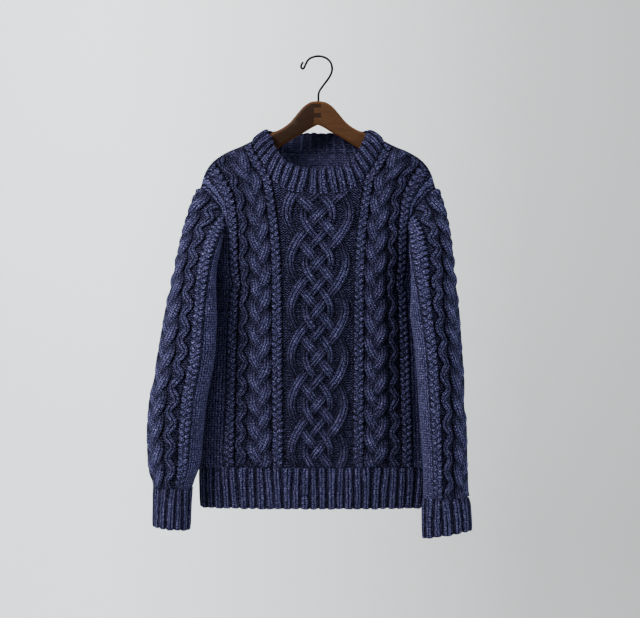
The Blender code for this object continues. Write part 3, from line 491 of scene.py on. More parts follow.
def between(grid, row, col):
    """Values of a grid at fractional rows and columns, mixed from the four around each."""
    row = np.clip(row, 0, grid.shape[0] - 1.001)
    col = np.clip(col, 0, grid.shape[1] - 1.001)
    r = row.astype(int)
    c = col.astype(int)
    fr = row - r
    fc = col - c
    if grid.ndim == 3:
        fr = fr[..., None]
        fc = fc[..., None]
    near = grid[r, c] * (1 - fc) + grid[r, c + 1] * fc
    far = grid[r + 1, c] * (1 - fc) + grid[r + 1, c + 1] * fc
    return near * (1 - fr) + far * fr


def new_object(name, data):
    """A new object in the scene."""
    item = bpy.data.objects.new(name, data)
    bpy.context.scene.collection.objects.link(item)
    return item


class Knit:
    """The surface of one knitted piece.

    across is each column's place in metres of knitting, along the height of
    knitting of each grid point, rising with the rows, and top the height where
    each column ends. light scales the painted light and shade of its cables.
    """

    LEVELS = 800

    def __init__(self, across, along, points, normals, top, light=1.0):
        self.across = across
        self.along = along
        self.points = points
        self.normals = normals
        self.top = top
        self.bottom = along[0]
        self.light = light
        self.lowest = along.min()
        self.highest = along.max()
        levels = np.linspace(self.lowest, self.highest, self.LEVELS)
        rows = np.arange(len(along))
        self.rows = np.stack([np.interp(levels, line, rows) for line in along.T], axis=1)

    def place(self, u, v, height):
        """Point over the surface: its place across and along, moved out by height."""
        col = np.interp(u, self.across, np.arange(len(self.across)))
        level = (v - self.lowest) / (self.highest - self.lowest) * (self.LEVELS - 1)
        row = between(self.rows, level, col)
        normal = unit(between(self.normals, row, col))
        return between(self.points, row, col) + normal * height[..., None]

    def room(self, u, v):
        """Distances of a point from the top and the bottom end of its column."""
        above = np.interp(u, self.across, self.top) - v
        below = v - np.interp(u, self.across, self.bottom)
        return above, below


class Piece:
    """A mesh gathered from grids of points, each with its own stitches."""

    def __init__(self, name):
        self.name = name
        self.grids = []
        self.count = 0

    def add(self, points, stitches, reverse, light=1.0, keep=None, outward=None, closed=False):
        """Adds a grid of points.

        reverse is 1 where the wrong side of the knitting shows, and light is painted
        shade: 0 deep between stitches and 1 on top. keep says which points stay,
        outward turns its faces, and closed joins its ends.
        """
        shape = points.shape[:2]
        flat = points.reshape(-1, 3)
        number = np.arange(len(flat)).reshape(shape)
        right = np.roll(number, -1, axis=1) if closed else number[:, 1:]
        left = number if closed else number[:, :-1]
        quads = np.stack([left[:-1], right[:-1], right[1:], left[1:]], axis=-1).reshape(-1, 4)
        if keep is not None:
            quads = quads[keep.reshape(-1)[quads].all(axis=1)]
        if outward is not None and len(quads):
            corner = flat[quads[:, 0]]
            facing = np.cross(flat[quads[:, 1]] - corner, flat[quads[:, 3]] - corner)
            if np.sum(facing * outward.reshape(-1, 3)[quads[:, 0]]) < 0:
                quads = quads[:, ::-1]
        stitches = np.broadcast_to(stitches, (*shape, 2)).reshape(-1, 2)
        reverse, light = (np.broadcast_to(values, shape).reshape(-1) for values in (reverse, light))
        self.grids.append((flat, quads + self.count, stitches, reverse, light))
        self.count += len(flat)

    def build(self, material, slot, node=None):
        """Makes the object, with the stitches as its UV map. node is the solid it stands for."""
        points, faces, stitches, reverse, light = map(np.concatenate, zip(*self.grids))
        used = np.unique(faces)
        number = np.zeros(len(points), int)
        number[used] = np.arange(len(used))
        corners = number[faces].astype(np.int32).ravel()
        mesh = bpy.data.meshes.new(self.name)
        mesh.vertices.add(len(used))
        mesh.vertices.foreach_set("co", points[used].astype(np.float32).ravel())
        mesh.loops.add(len(corners))
        mesh.loops.foreach_set("vertex_index", corners)
        mesh.polygons.add(len(faces))
        mesh.polygons.foreach_set("loop_start", np.arange(0, len(corners), 4, dtype=np.int32))
        mesh.update(calc_edges=True)
        mesh.shade_smooth()
        layer = mesh.uv_layers.new(name="stitches")
        layer.data.foreach_set("uv", stitches[used][corners].astype(np.float32).ravel())
        # the second attribute is painted shade: 0 deep in the hollows and 1 on top
        for label, values in (("reverse_side", reverse), ("painted_light", light)):
            attribute = mesh.attributes.new(label, "FLOAT", "POINT")
            attribute.data.foreach_set("value", values[used].astype(np.float32))
        mesh.materials.append(material)
        item = new_object(self.name, mesh)
        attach(item, "root")
        if node:
            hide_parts(node)
        return item


def torso_depth(x, z, depth_column):
    """Depth of the torso's section at a distance from the middle and a height."""
    inside = 1.0 - np.clip(x / read(TORSO, z), 0.0, 1.0) ** FULLNESS
    return read(TORSO, z, depth_column) * np.clip(inside, 0.0, 1.0) ** (1.0 / FULLNESS)


def torso_line(z, depth_column, start, count):
    """Places across the torso's section at a height, and the cloth walked to each.

    They run to the side seam or the armhole seam, and start is the angle that
    they run from: 0 in the middle, and minus a quarter turn at the other side.
    """
    edge = float(read(TORSO if z <= UNDERARM + 1e-6 else ARMHOLE, z))
    x = edge * np.sin(np.linspace(start, math.pi / 2, count))
    return x, walked(np.stack([x, torso_depth(np.abs(x), z, depth_column)], axis=-1))


def knit_columns(z, columns):
    """Columns at a height: the plain ones past the cables are narrowed by the armhole."""
    width = float(read(KNIT_WIDTH, z))
    plain = CABLE_EDGE + (columns - CABLE_EDGE) * (width - CABLE_EDGE) / (PLAIN_TO - CABLE_EDGE)
    return np.where(columns > CABLE_EDGE, plain, columns), width


def row_positions(z, guide_x, guide_u, depth_column, columns):
    """Distances from the middle of all columns at one height, even along the cloth."""
    sample, walk = torso_line(z, depth_column, 0.0, HALF_LINE)
    guide_walk = np.interp(guide_x, sample, walk)
    u, width = knit_columns(z, columns)
    inner = guide_walk * u / guide_u
    outer = guide_walk + (walk[-1] - guide_walk) * (u - guide_u) / (width - guide_u)
    return np.interp(np.where(u <= guide_u, inner, outer), walk, sample), u


def panel_columns(guide_u):
    """Fine columns of half a panel, with one on the guide and one on the cables' edge."""
    spans = ((0.0, guide_u), (guide_u, CABLE_EDGE), (CABLE_EDGE, PLAIN_TO))
    fine = [np.linspace(a, b, max(2, round((b - a) / GRID_STEP)) + 1)[:-1] for a, b in spans]
    return np.concatenate(fine + [[PLAIN_TO]])


def half_panel(name):
    """Half a panel as points over rows and columns.

    Below the strap each row is the torso's section at one height, with its
    columns evenly spaced along the cloth. Above it the columns past the guide
    run up a quarter ellipse to the shoulder line, and those inside it end on
    the neck edge.
    """
    side, depth_column, guide_u, neck_row, neck, guide_table = PANELS[name]
    columns = panel_columns(guide_u)
    guide = int(np.argmin(np.abs(columns - guide_u)))
    strap = STRAP_ROW * FINE
    last_neck = neck_row * FINE
    rows = PANEL_TOP_ROW * FINE + 1
    x, z, u = np.zeros((3, rows, len(columns)))
    lower = np.linspace(HEM_SEAM, UNDERARM, UNDERARM_ROW * FINE + 1)
    upper = np.linspace(UNDERARM, STRAP_START, (STRAP_ROW - UNDERARM_ROW) * FINE + 1)
    for row, height in enumerate(np.concatenate([lower, upper[1:]])):
        guide_x = read(guide_table, height)
        x[row], u[row] = row_positions(height, guide_x, guide_u, depth_column, columns)
        z[row] = height
    top_u, top_width = knit_columns(0.0, columns)
    reach = (top_u - guide_u) / (top_width - guide_u)
    start_reach = (x[strap] - x[strap, guide]) / (x[strap, -1] - x[strap, guide])
    ridge = read(SHOULDER, SHOULDER[0][0] + reach * (SHOULDER[-1][0] - SHOULDER[0][0]))
    share = columns / guide_u
    base = np.where(share < 1.0, read(NECK_CLOSING, share), ridge) - CLOSING
    first_angle = np.arcsin(np.clip((STRAP_START - base) / CLOSING, -1.0, 1.0))
    climb = np.arange(strap + 1, rows)
    t = ((climb - strap) / (rows - 1 - strap))[:, None]
    z[climb] = base + CLOSING * np.sin(first_angle + t * (math.pi / 2 - first_angle))
    guide_x = read(guide_table, z[climb, guide])[:, None]
    edge_x = read(ARMHOLE, z[climb, -1])[:, None]
    x[climb] = guide_x + (edge_x - guide_x) * (start_reach + t * (reach - start_reach))
    u[climb] = u[strap] + t * (top_u - u[strap])
    inner = x[strap, :guide] / x[strap, guide]
    neck_z = read(neck, inner * x[last_neck, guide])
    part = (z[climb, guide] - STRAP_START) / (z[last_neck, guide] - STRAP_START)
    x[climb, :guide] = inner * x[climb, guide][:, None]
    z[climb, :guide] = STRAP_START + (neck_z - STRAP_START) * part[:, None]
    beyond = climb[climb > last_neck]
    for grid in (x, z):
        end = grid[last_neck, :guide]
        step = end - grid[last_neck - 1, :guide]
        grid[beyond, :guide] = end + (beyond - last_neck)[:, None] * step
    closing = np.sqrt(1.0 - np.clip((z - base) / CLOSING, 0.0, 1.0) ** 2)
    y = side * torso_depth(np.abs(x), z, depth_column) * closing
    y[-1, guide:] = 0.0
    y[:UNDERARM_ROW * FINE + 1, -1] = 0.0
    return np.stack([x, y, z], axis=-1), u, columns, guide, last_neck


def crease(points, name):
    """Depth of the panel's soft folds: troughs along the line that the cloth hangs from.

    Each is a bell across its line, which runs from one point to another, and
    it fades at both ends.
    """
    total = np.zeros(points.shape[:2])
    for x0, z0, x1, z1, width, depth in FOLDS[name]:
        along = np.array([x1 - x0, z1 - z0])
        length = np.hypot(*along)
        dx = points[..., 0] - x0
        dz = points[..., 2] - z0
        t = (dx * along[0] + dz * along[1]) / length ** 2
        off = (dx * along[1] - dz * along[0]) / length
        fade = ease(t / 0.25) * ease((1.0 - t) / 0.25)
        total += depth * fade * np.exp(-(off / width) ** 2)
    return total


def panel_knit(name):
    """The whole front or back as a knitted surface, and which grid points it has."""
    side = PANELS[name][0]
    half, half_u, columns, guide, last_neck = half_panel(name)
    points = np.concatenate([half[:, :0:-1] * np.array([-1.0, 1.0, 1.0]), half], axis=1)
    middle = len(columns) - 1
    across = np.gradient(points, axis=1)
    beyond = slice(last_neck + 1, None)
    for sign in (1, -1):
        edge = middle + sign * guide
        across[beyond, edge] = sign * (points[beyond, edge + sign] - points[beyond, edge])
    normals = unit(np.cross(across, np.gradient(points, axis=0))) * -side
    normals[-1, :, 1] = 0.0
    normals[:UNDERARM_ROW * FINE + 1, (0, -1), 1] = 0.0
    normals = unit(normals)
    inside = np.abs(np.arange(points.shape[1]) - middle) < guide
    kept = (np.arange(len(points))[:, None] <= last_neck) | ~inside
    top = np.where(inside, points[last_neck, :, 2], points[-1, :, 2])
    signed = np.concatenate([-columns[:0:-1], columns])
    u = np.concatenate([-half_u[:, :0:-1], half_u], axis=1)
    points = points + normals * crease(points, name)[..., None]
    knit = Knit(signed, points[..., 2], points, normals, top)
    return knit, u, kept, middle, guide, last_neck


def mean_of_three(path, v, step=0.003):
    """A path with its corners rounded: the mean of it a little below, at and above each height."""
    return (path(v - step) + 2 * path(v) + path(v + step)) / 4


def braid_outer(v, strand):
    """Across and lift of one of four strands that make the lobes.

    In turn it crosses to the right, swings round the right lobe, crosses back
    and swings round the left lobe. It is over and under by turns.
    """
    turn = ((BRAID_START - v) / BRAID_PERIOD + strand) % 4.0
    side = np.where(turn < 2, 1, -1)
    p = turn % 2
    crossing = BRAID_CROSSING * (2 * p - 1)
    swing = BRAID_CROSSING + BRAID_LOBE * np.sin(math.pi * (p - 1))
    lift = -np.cos(math.pi * np.where(p < 1, 4 * p, p - 1))
    return side * np.where(p < 1, crossing, swing), side * lift


def braid_inner(v, strand):
    """Across and lift of one of two strands that wave down the middle."""
    q = (BRAID_START - v) / BRAID_PERIOD + (strand < 0)
    return BRAID_INNER * np.sin(math.pi * q), read(INNER_LIFT, q % 2.0)


def plait(period, reach):
    """Path of a plait: across and lift of one of its three strands about its middle line."""
    def path(v, strand):
        turn = -2 * math.pi * v / period + strand * 2 * math.pi / 3
        return reach * np.sin(turn), -np.sin(2 * turn)
    return path


def zigzag(v, strand):
    """Across and lift of the single strand that waves about its middle line."""
    wave = 2 * math.pi * v / ZIGZAG_PERIOD
    return ZIGZAG_REACH * np.sin(wave), 0.3 * np.cos(2 * wave) * (strand + 1)


# path, its strands, half width, lift of its top, rise and fall of the lift, wales across,
# depth of the grooves between wales, and how bright its painted light and shade is
CABLES = {
    "braid_outer": (braid_outer, (0, 1, 2, 3), 0.0086, 0.0060, 0.0022, 3, 0.24, 1.0),
    "braid_inner": (braid_inner, (-1, 1), 0.0068, 0.0058, 0.0023, 2, 0.24, 0.95),
    "plait": (plait(PLAIT_PERIOD, PLAIT_REACH), (0, 1, 2), 0.0106, 0.0058, 0.0032, 4, 0.06, 1.0),
    "zigzag": (zigzag, (0,), 0.0068, 0.0056, 0.0005, 2, 0.14, 1.0),
    "cord": (plait(CORD_PERIOD, CORD_REACH), (0, 1, 2), 0.0052, 0.0050, 0.0024, 1, 0.0, 0.9),
}


def add_strand(piece, knit, cable, middle, mirror, strand):
    """One strand of a cable: a round section carried along its path over the surface.

    Its place across is the middle line plus the path, its top is the lift, and
    the section falls to below the ground at both edges.
    """
    path, _, half_width, lift, swing, wales, groove_depth, painted_light_scale = CABLES[cable]
    widest = CABLE_REACH if middle else BRAID_REACH
    near = np.abs(knit.across - mirror * middle) <= widest
    v = np.arange(knit.bottom[near].min(), knit.top[near].max() + STRAND_STEP, STRAND_STEP)
    u = mirror * (middle + mean_of_three(lambda height: path(height, strand)[0], v))
    over = path(v, strand)[1][:, None]
    slope = np.gradient(u, v)
    stretch = np.hypot(1.0, slope)
    s = np.linspace(-1.0, 1.0, min(5 * max(wales, 2), 15) + 1)
    grid_u = u[:, None] + half_width * s / stretch[:, None]
    grid_v = v[:, None] - half_width * s * (slope / stretch)[:, None]
    above, below = knit.room(grid_u, grid_v)
    fade = ease((above - TOP_GAP) / SEAM_FADE) * (0.70 + 0.30 * ease(below / RIB_FADE))
    groove = groove_depth * (1.0 - np.abs(np.sin(math.pi * wales * (s + 1) / 2)) ** 0.7)
    height = SUNK + (lift + swing * over - SUNK) * dome(s) * (1.0 - groove) * fade
    points = knit.place(grid_u, grid_v, height)
    # painted shade: the strand is darker at its edges, where it passes under and near its ends, scaled
    # by its cable's brightness
    light = knit.light * painted_light_scale * dome(s) * (0.75 + 0.25 * over) * (0.5 + 0.5 * fade)
    arc = np.concatenate([[0.0], np.cumsum(stretch[1:] * np.diff(v))])
    stitches = np.stack(np.broadcast_arrays((s + 1) * wales / 2, arc[:, None] / COURSE), axis=-1)
    outward = points - knit.place(grid_u, grid_v, height - 0.01)
    inside = np.minimum(above, below) > END_GAP
    piece.add(points, stitches, 0.0, light=light, keep=inside, outward=outward)


def build_cloth(name, knit, u, kept, room, borders, look, wool):
    """A knitted piece: its ground with the cut edges, its wrong side, and its cables.

    room is each point's distance from a seam. The ground rises to its full
    height a few stitches from it, and lies a little lower between the cables,
    where painted shade also darkens it.
    """
    slot, cable_ground, least_reverse, plan, flat, area, rests_on = look
    cable_side = ease((cable_ground - np.abs(u)) / GROUND_CHANGE)
    height = (PUFF - GROUND_SINK * cable_side) * ease(room / SEAM_FADE)
    outer = knit.points + knit.normals * height[..., None]
    inner = knit.points - knit.normals * WALL
    stitches = np.stack([u / WALE, knit.along / COURSE], axis=-1)
    ground = Piece(name + "_ground")
    # painted shade: the ground is darker between the cables
    ground.add(outer, stitches, cable_side, light=1.0 - GROUND_PAINTED_SHADE * cable_side, keep=kept,
               outward=knit.normals)
    for run in borders:
        ground.add(np.stack([outer[run], inner[run]]), np.stack([stitches[run]] * 2), 1.0)
    inside = Piece(name + "_wrong_side")
    pick = (slice(None, None, 3), slice(None, None, 2))
    inside.add(inner[pick], stitches[pick], np.maximum(1.0 - cable_side, least_reverse)[pick],
               keep=kept[pick], outward=-knit.normals[pick])
    cables = Piece(name + "_cables")
    for cable, middle in plan:
        for mirror in ((1, -1) if middle else (1,)):
            for strand in CABLES[cable][1]:
                add_strand(cables, knit, cable, middle, mirror, strand)
    item = ground.build(wool, slot, name)
    others = [piece.build(wool, slot) for piece in (inside, cables)]


def build_panel(name, wool):
    """Front or back: cut at its hem, sides, shoulders and neck."""
    knit, u, kept, middle, guide, last_neck = panel_knit(name)
    z = knit.along
    left = middle - guide
    right = middle + guide
    place = np.abs(knit.across)
    above_neck = np.arange(len(z))[:, None] > last_neck
    beside_neck = np.where(above_neck, np.abs(place - place[right]), 1.0)
    room = np.minimum(np.minimum(knit.top - z, z - knit.bottom), place[-1] - place)
    every = slice(None)
    borders = (
        (0, every),
        (every, 0),
        (every, -1),
        (-1, slice(0, left + 1)),
        (-1, slice(right, None)),
        (last_neck, slice(left, right + 1)),
        (slice(last_neck, None), left),
        (slice(last_neck, None), right),
    )
    build_cloth(name, knit, u, kept, np.minimum(room, beside_neck), borders, PANEL_LOOK, wool)


def build_sleeve(prefix, seam, wool):
    """Sleeve: cut at the cuff and the armhole, with its cables down its top line."""
    knit = sleeve_knit(prefix, seam)
    u = np.broadcast_to(knit.across, knit.along.shape)
    room = np.minimum(knit.top - knit.along, knit.along - knit.bottom)
    borders = ((0, slice(None)), (-1, slice(None)))
    name = prefix + "_sleeve"
    build_cloth(name, knit, u, np.full(u.shape, True), room, borders, SLEEVE_LOOK, wool)


def sleeve_section(table, angle, z):
    """Point of the hanging sleeve at an angle round its middle and a height."""
    outer, inner, depth, half, lean = (read(table, z, k) for k in range(1, 6))
    x = (outer + inner) / 2 + (outer - inner) / 2 * np.cos(angle)
    y = depth + half * np.sin(angle + np.radians(lean))
    return np.stack(np.broadcast_arrays(x, y, z), axis=-1)


def ring_normals(rings, side):
    """Outward normals of rings whose last column repeats the first."""
    around = np.roll(rings[:, :-1], -1, axis=1) - np.roll(rings[:, :-1], 1, axis=1)
    around = np.concatenate([around, around[:, :1]], axis=1)
    return unit(np.cross(around, np.gradient(rings, axis=0))) * side


def sleeve_knit(prefix, seam):
    """A sleeve as a knitted surface.

    Each column leaves the armhole seam in its own direction and bends down
    into the hanging tube, a cubic between two points with a direction at each
    end. Below that it follows the tube's section down to the cuff.
    """
    side, table, leaving_table, cuff_seam = SLEEVES[prefix][:4]
    turns = np.linspace(-0.5, 0.5, SLEEVE_COLUMNS)
    walk = walked(seam)
    place = np.interp(walk, [0.0, walk[len(seam) // 2], walk[-1]], [0.0, 0.5, 1.0])
    turned = turns % 1.0
    start = points_at((1.0 - turned) % 1.0, place, seam)
    leaving = unit(np.stack([read(leaving_table, turned, k) for k in (1, 2, 3)], axis=-1))
    angle = -math.radians(FACING) - 2 * math.pi * turns
    end = sleeve_section(table, angle, CAP_END)
    falling = unit(sleeve_section(table, angle, CAP_END - FALL_STEP) - end)
    reach = np.linalg.norm(end - start, axis=1)[:, None]
    t = np.linspace(0.0, 1.0, CAP_ROWS)[:, None, None]
    cap = cubic(t, start, end, LEAVE * reach * leaving, FALL * reach * falling)
    heights = np.linspace(CAP_END, cuff_seam, round((CAP_END - cuff_seam) / GRID_STEP) + 1)[1:]
    tube = sleeve_section(table, angle, heights[:, None])
    along = np.concatenate([CAP_END + walked(cap[::-1])[::-1], tube[..., 2]])
    rings = np.concatenate([cap, tube])
    rings[..., 0] *= side
    normals = ring_normals(rings, side)
    rings = rings + normals * sleeve_crease(prefix, turns, along)[..., None]
    rings, normals, along = rings[::-1], normals[::-1], along[::-1]
    across = turns * 2 * SLEEVE_HALF_ROUND
    return Knit(across, along, rings, normals, along[-1], light=SLEEVE_PAINTED_LIGHT)


def sleeve_crease(prefix, turns, along):
    """Depth of the sleeve's soft cross folds: a bell round the tube times a bell along it."""
    total = np.zeros(along.shape)
    for turn, height, wide, tall, depth in SLEEVE_FOLDS[prefix]:
        off = turns - turn
        round_bell = np.exp(-(off / wide) ** 2)
        total += depth * round_bell * np.exp(-((along - height - 0.10 * off) / tall) ** 2)
    return total


def rib_height(turn):
    """Height of ribbing: a round rib of two wales, dipped between them, then a gully."""
    t = (turn + 0.5) % 1.0 - 0.5
    return RIB_RISE * dome(t / 0.42, 2.0) * (1.0 - 0.20 * np.exp(-(t / 0.05) ** 2))


def uneven(turn, count):
    """Small unevenness round a band: three waves of unlike lengths, within 1, that close."""
    waves = ((0.41, 0.3, 0.5), (0.17, 1.9, 0.3), (1.13, 4.0, 0.2))
    around = 2 * math.pi * turn
    return sum(size * np.sin(around * round(count * rate) + start) for rate, start, size in waves)


def build_band(kind, node, rings, normals, down, t, ends, wool):
    """A ribbed band: its outside with the rounded edge, and its inside.

    rings are rows of points from the seam to the edge, and t says how far along
    each is. The ribs stand out from them by their height times swell, and the
    inside follows them half as much. Near the seam they wander towards the
    cables above. The edge is half a circle from the outside to the inside, and
    it hangs a little lower on each rib.
    """
    ribs, _, _, start, grown, loss, wall, flat = BANDS[kind]
    swell = (start + (1.0 - start) * ease(t / grown)) * (1.0 - loss * ease((t - 0.8) / 0.2))
    turn = np.linspace(0.0, 1.0, rings.shape[1])
    share = np.linspace(0.0, 1.0, len(rings))[:, None]
    seam_wander = SEAM_WANDER * (1.0 - ease(share / 0.7)) * uneven(turn + 0.37, ribs / 2)
    place = turn * ribs + 0.5 + RIB_WANDER * uneven(turn, ribs) + seam_wander
    rise = rib_height(place) * ends
    gully = 1.0 - ease(rise / RIB_RISE / 0.45)
    sag = RIB_SAG * rise / RIB_RISE + EDGE_WAVE * uneven(turn + 0.3, ribs)
    rings = rings + down * (ease((share - 0.5) / 0.5) * sag)[..., None]
    outer = rings + normals * (swell * rise)[..., None]
    inner = rings - normals * (wall - 0.45 * swell * rise)[..., None]
    middle = (outer[-1] + inner[-1]) / 2
    reach = (outer[-1] - inner[-1]) / 2
    bend = np.linspace(0.0, math.pi, EDGE_ROWS + 1)[1:, None, None]
    drop = down * np.linalg.norm(reach, axis=-1, keepdims=True)
    lip = middle + reach * np.cos(bend) + drop * np.sin(bend)
    facing = normals[-1] * np.cos(bend) + down * np.sin(bend)
    step = np.linalg.norm(np.diff(rings, axis=0), axis=-1).mean(axis=1)
    course = np.concatenate([[0.0], np.cumsum(step)]) / COURSE
    round_edge = course[-1] + np.linspace(0.4, 3.0, len(lip))
    rows = list(range(len(rings)))
    face_rows = rows + rows[-1:] * len(lip)
    inside_rows = rows[:1] + rows
    face = (np.concatenate([outer, lip]), np.concatenate([course, round_edge]), gully[face_rows],
            np.concatenate([normals, facing]), place[face_rows], 0.56)
    inside = (np.concatenate([outer[:1], inner]), course[inside_rows], 1.0 - gully[inside_rows],
              -normals[inside_rows], place[inside_rows], 0.20)
    for ending, solid, grid in (("_face", node, face), ("_inside", None, inside)):
        points, along, purl, outward, wale, shade = grid
        stitches = np.stack(np.broadcast_arrays(3.0 * wale, along[:, None]), axis=-1)
        piece = Piece(node + ending)
        # painted shade: the purl gullies are darker, more on the face than inside
        piece.add(points, stitches, purl, light=0.90 - shade * purl, outward=outward)
        piece.build(wool, "wool_ribbing", solid)


def build_hem(name, wool):
    """Ribbed hem of one panel: the torso's section downwards from the seam."""
    side, depth_column = PANELS[name][:2]
    ribs, fine, count = BANDS["hem"][:3]
    turn = np.linspace(0.0, 1.0, ribs * fine + 1)
    rings = []
    for z in np.linspace(HEM_SEAM - SEAM_GAP, HEM_EDGE, count):
        sample, walk = torso_line(z, depth_column, -math.pi / 2, WHOLE_LINE)
        x = np.interp(turn * walk[-1], walk, sample)
        y = side * torso_depth(np.abs(x), z, depth_column)
        rings.append(np.stack(np.broadcast_arrays(x, y, z), axis=-1))
    rings = np.array(rings)
    across = np.gradient(rings, axis=1)
    level = np.zeros(across.shape[:2])
    normals = unit(np.stack([across[..., 1], -across[..., 0], level], axis=-1)) * -side
    normals[:, 0] = (-1.0, 0.0, 0.0)
    normals[:, -1] = (1.0, 0.0, 0.0)
    t = np.linspace(0.0, 1.0, count)[:, None]
    rings = rings + normals * (crease(rings, name) * (1.0 - ease(t / 0.9)))[..., None]
    ends = ease(np.minimum(turn, 1.0 - turn) * ribs)
    build_band("hem", name + "_hem_rib", rings, normals, DOWN, t, ends, wool)


def build_cuff(prefix, wool):
    """Ribbed cuff: the sleeve's section below its seam, its outer end tipped up."""
    side, table, _, seam_z, end_z, rise_end = SLEEVES[prefix]
    ribs, fine, count = BANDS["cuff"][:3]
    angle = -np.linspace(0.0, 2 * math.pi, ribs * fine + 1)
    t = np.linspace(0.0, CUFF_SHARE, count)[:, None]
    z = seam_z - SEAM_GAP + (end_z - seam_z) * t + rise_end * t * np.cos(angle)
    rings = sleeve_section(table, angle, z)
    rings[..., 0] *= side
    normals = ring_normals(rings, side)
    normals[..., 2] = 0.0
    build_band("cuff", prefix + "_cuff", rings, unit(normals), DOWN, t, 1.0, wool)


def neck_half_loop(halves):
    """Half the neck seam: from the front's middle over the shoulder's neck point to the back's.

    Gives its points, and which of them is the neck point.
    """
    front, _, _, front_guide, front_row = halves["front"]
    back, _, _, back_guide, back_row = halves["back"]
    return np.concatenate([
        front[front_row, :front_guide + 1],
        front[front_row + 1:, front_guide],
        back[back_row:-1, back_guide][::-1],
        back[back_row, :back_guide][::-1],
    ]), front_guide + len(front) - 1 - front_row


def build_neckband(halves, wool):
    """Ribbed neckband: straight from the neck seam to its upper edge, bowed out between."""
    ribs, fine, count = BANDS["neckband"][:3]
    half, shoulder = neck_half_loop(halves)
    walk = walked(half)
    edge = np.array(BAND_EDGE)
    edge_walk = walked(edge)
    corner = round(edge_walk[BAND_CORNER] / edge_walk[-1] / 2 * ribs) / ribs
    place = np.interp(walk, [0.0, walk[shoulder], walk[-1]], [0.0, corner, 0.5])
    turn = np.linspace(0.0, 1.0, ribs * fine + 1)
    fold = np.where(turn <= 0.5, turn, 1.0 - turn)
    low = points_at(fold, place, half)
    edge_place = np.interp(fold, [0.0, corner, 0.5], [0.0, edge_walk[BAND_CORNER], edge_walk[-1]])
    high = points_at(edge_place, edge_walk, edge, smooth)
    soft = np.hanning(9) / np.hanning(9).sum()
    for curve in (low, high):
        curve[:, 0] *= np.where(turn <= 0.5, 1.0, -1.0)
        looped = np.concatenate([curve[-9:-1], curve, curve[1:9]])
        for k in range(3):
            curve[:, k] = np.convolve(looped[:, k], soft, mode="same")[8:-8]
    t = np.linspace(0.0, BAND_SHARE, count)[:, None]
    rings = low + (high - low) * t[..., None]
    normals = ring_normals(rings, 1)
    rings = rings + normals * (BAND_BOW * np.sin(math.pi * t))[..., None]
    upwards = unit(high - low)
    build_band("neckband", "neckband", rings, normals, upwards, t, 1.0, wool)


def sign(operation):
    """A sign between two numbers, which adds the node of one operation."""
    return lambda first, second: first.make(operation, second)


class Sum:
    """A number worked out by a material's nodes, written with the usual signs."""

    def __init__(self, look, socket):
        self.look = look
        self.socket = socket

    def make(self, operation, *others):
        """The result of an operation on this number and others."""
        inputs = dict(enumerate((self, *others)))
        return Sum(self.look, self.look.add("Math", inputs, operation=operation)[0])

    __add__ = __radd__ = sign("ADD")
    __sub__ = sign("SUBTRACT")
    __mul__ = __rmul__ = sign("MULTIPLY")
    __truediv__ = sign("DIVIDE")


class Look:
    """A material, to which nodes are added."""

    def __init__(self, name):
        self.material = bpy.data.materials.new(name)
        self.material.use_nodes = True
        self.tree = self.material.node_tree
        self.place = self.add("TexCoord")["Object"]

    def put(self, slot, value):
        """Links a slot to a number or a socket, or sets it to a plain value."""
        if isinstance(value, Sum):
            value = value.socket
        if hasattr(value, "links"):
            self.tree.links.new(value, slot)
        else:
            slot.default_value = value

    def add(self, kind, inputs=None, **settings):
        """Adds a node with its settings and inputs, and gives its outputs."""
        node = self.tree.nodes.new("ShaderNode" + kind)
        for key, value in settings.items():
            setattr(node, key, value)
        for key, value in (inputs or {}).items():
            self.put(node.inputs[key], value)
        return node.outputs

    def attribute(self, name):
        """A number kept at the mesh's points."""
        return Sum(self, self.add("Attribute", attribute_name=name)["Fac"])

    def parts(self, vector):
        """The three parts of a vector."""
        return [Sum(self, part) for part in self.add("SeparateXYZ", {0: vector})]

    def noise(self, scale, detail, roughness=0.5, stretch=None):
        """Noise over the object, stretched by a scale for each direction."""
        place = self.place
        if stretch:
            place = self.add("Mapping", {"Vector": place, "Scale": stretch})[0]
        inputs = {"Vector": place, "Scale": scale, "Detail": detail, "Roughness": roughness}
        return Sum(self, self.add("TexNoise", inputs)[0])

    def mix(self, share, first, second, mode="MIX"):
        """Colour between two, by a share from 0 to 1."""
        return self.add("Mix", {0: share, 6: first, 7: second}, data_type="RGBA", blend_type=mode)[2]

    def finish(self, relief=None, strength=0.0, distance=0.0, **inputs):
        """Sets the shader's inputs, and its normals by a relief."""
        shader = self.tree.nodes["Principled BSDF"]
        if relief is not None:
            bump = {"Height": relief, "Strength": strength, "Distance": distance}
            inputs["Normal"] = self.add("Bump", bump)[0]
        for key, value in inputs.items():
            self.put(shader.inputs[key.replace("_", " ")], value)
        return self.material


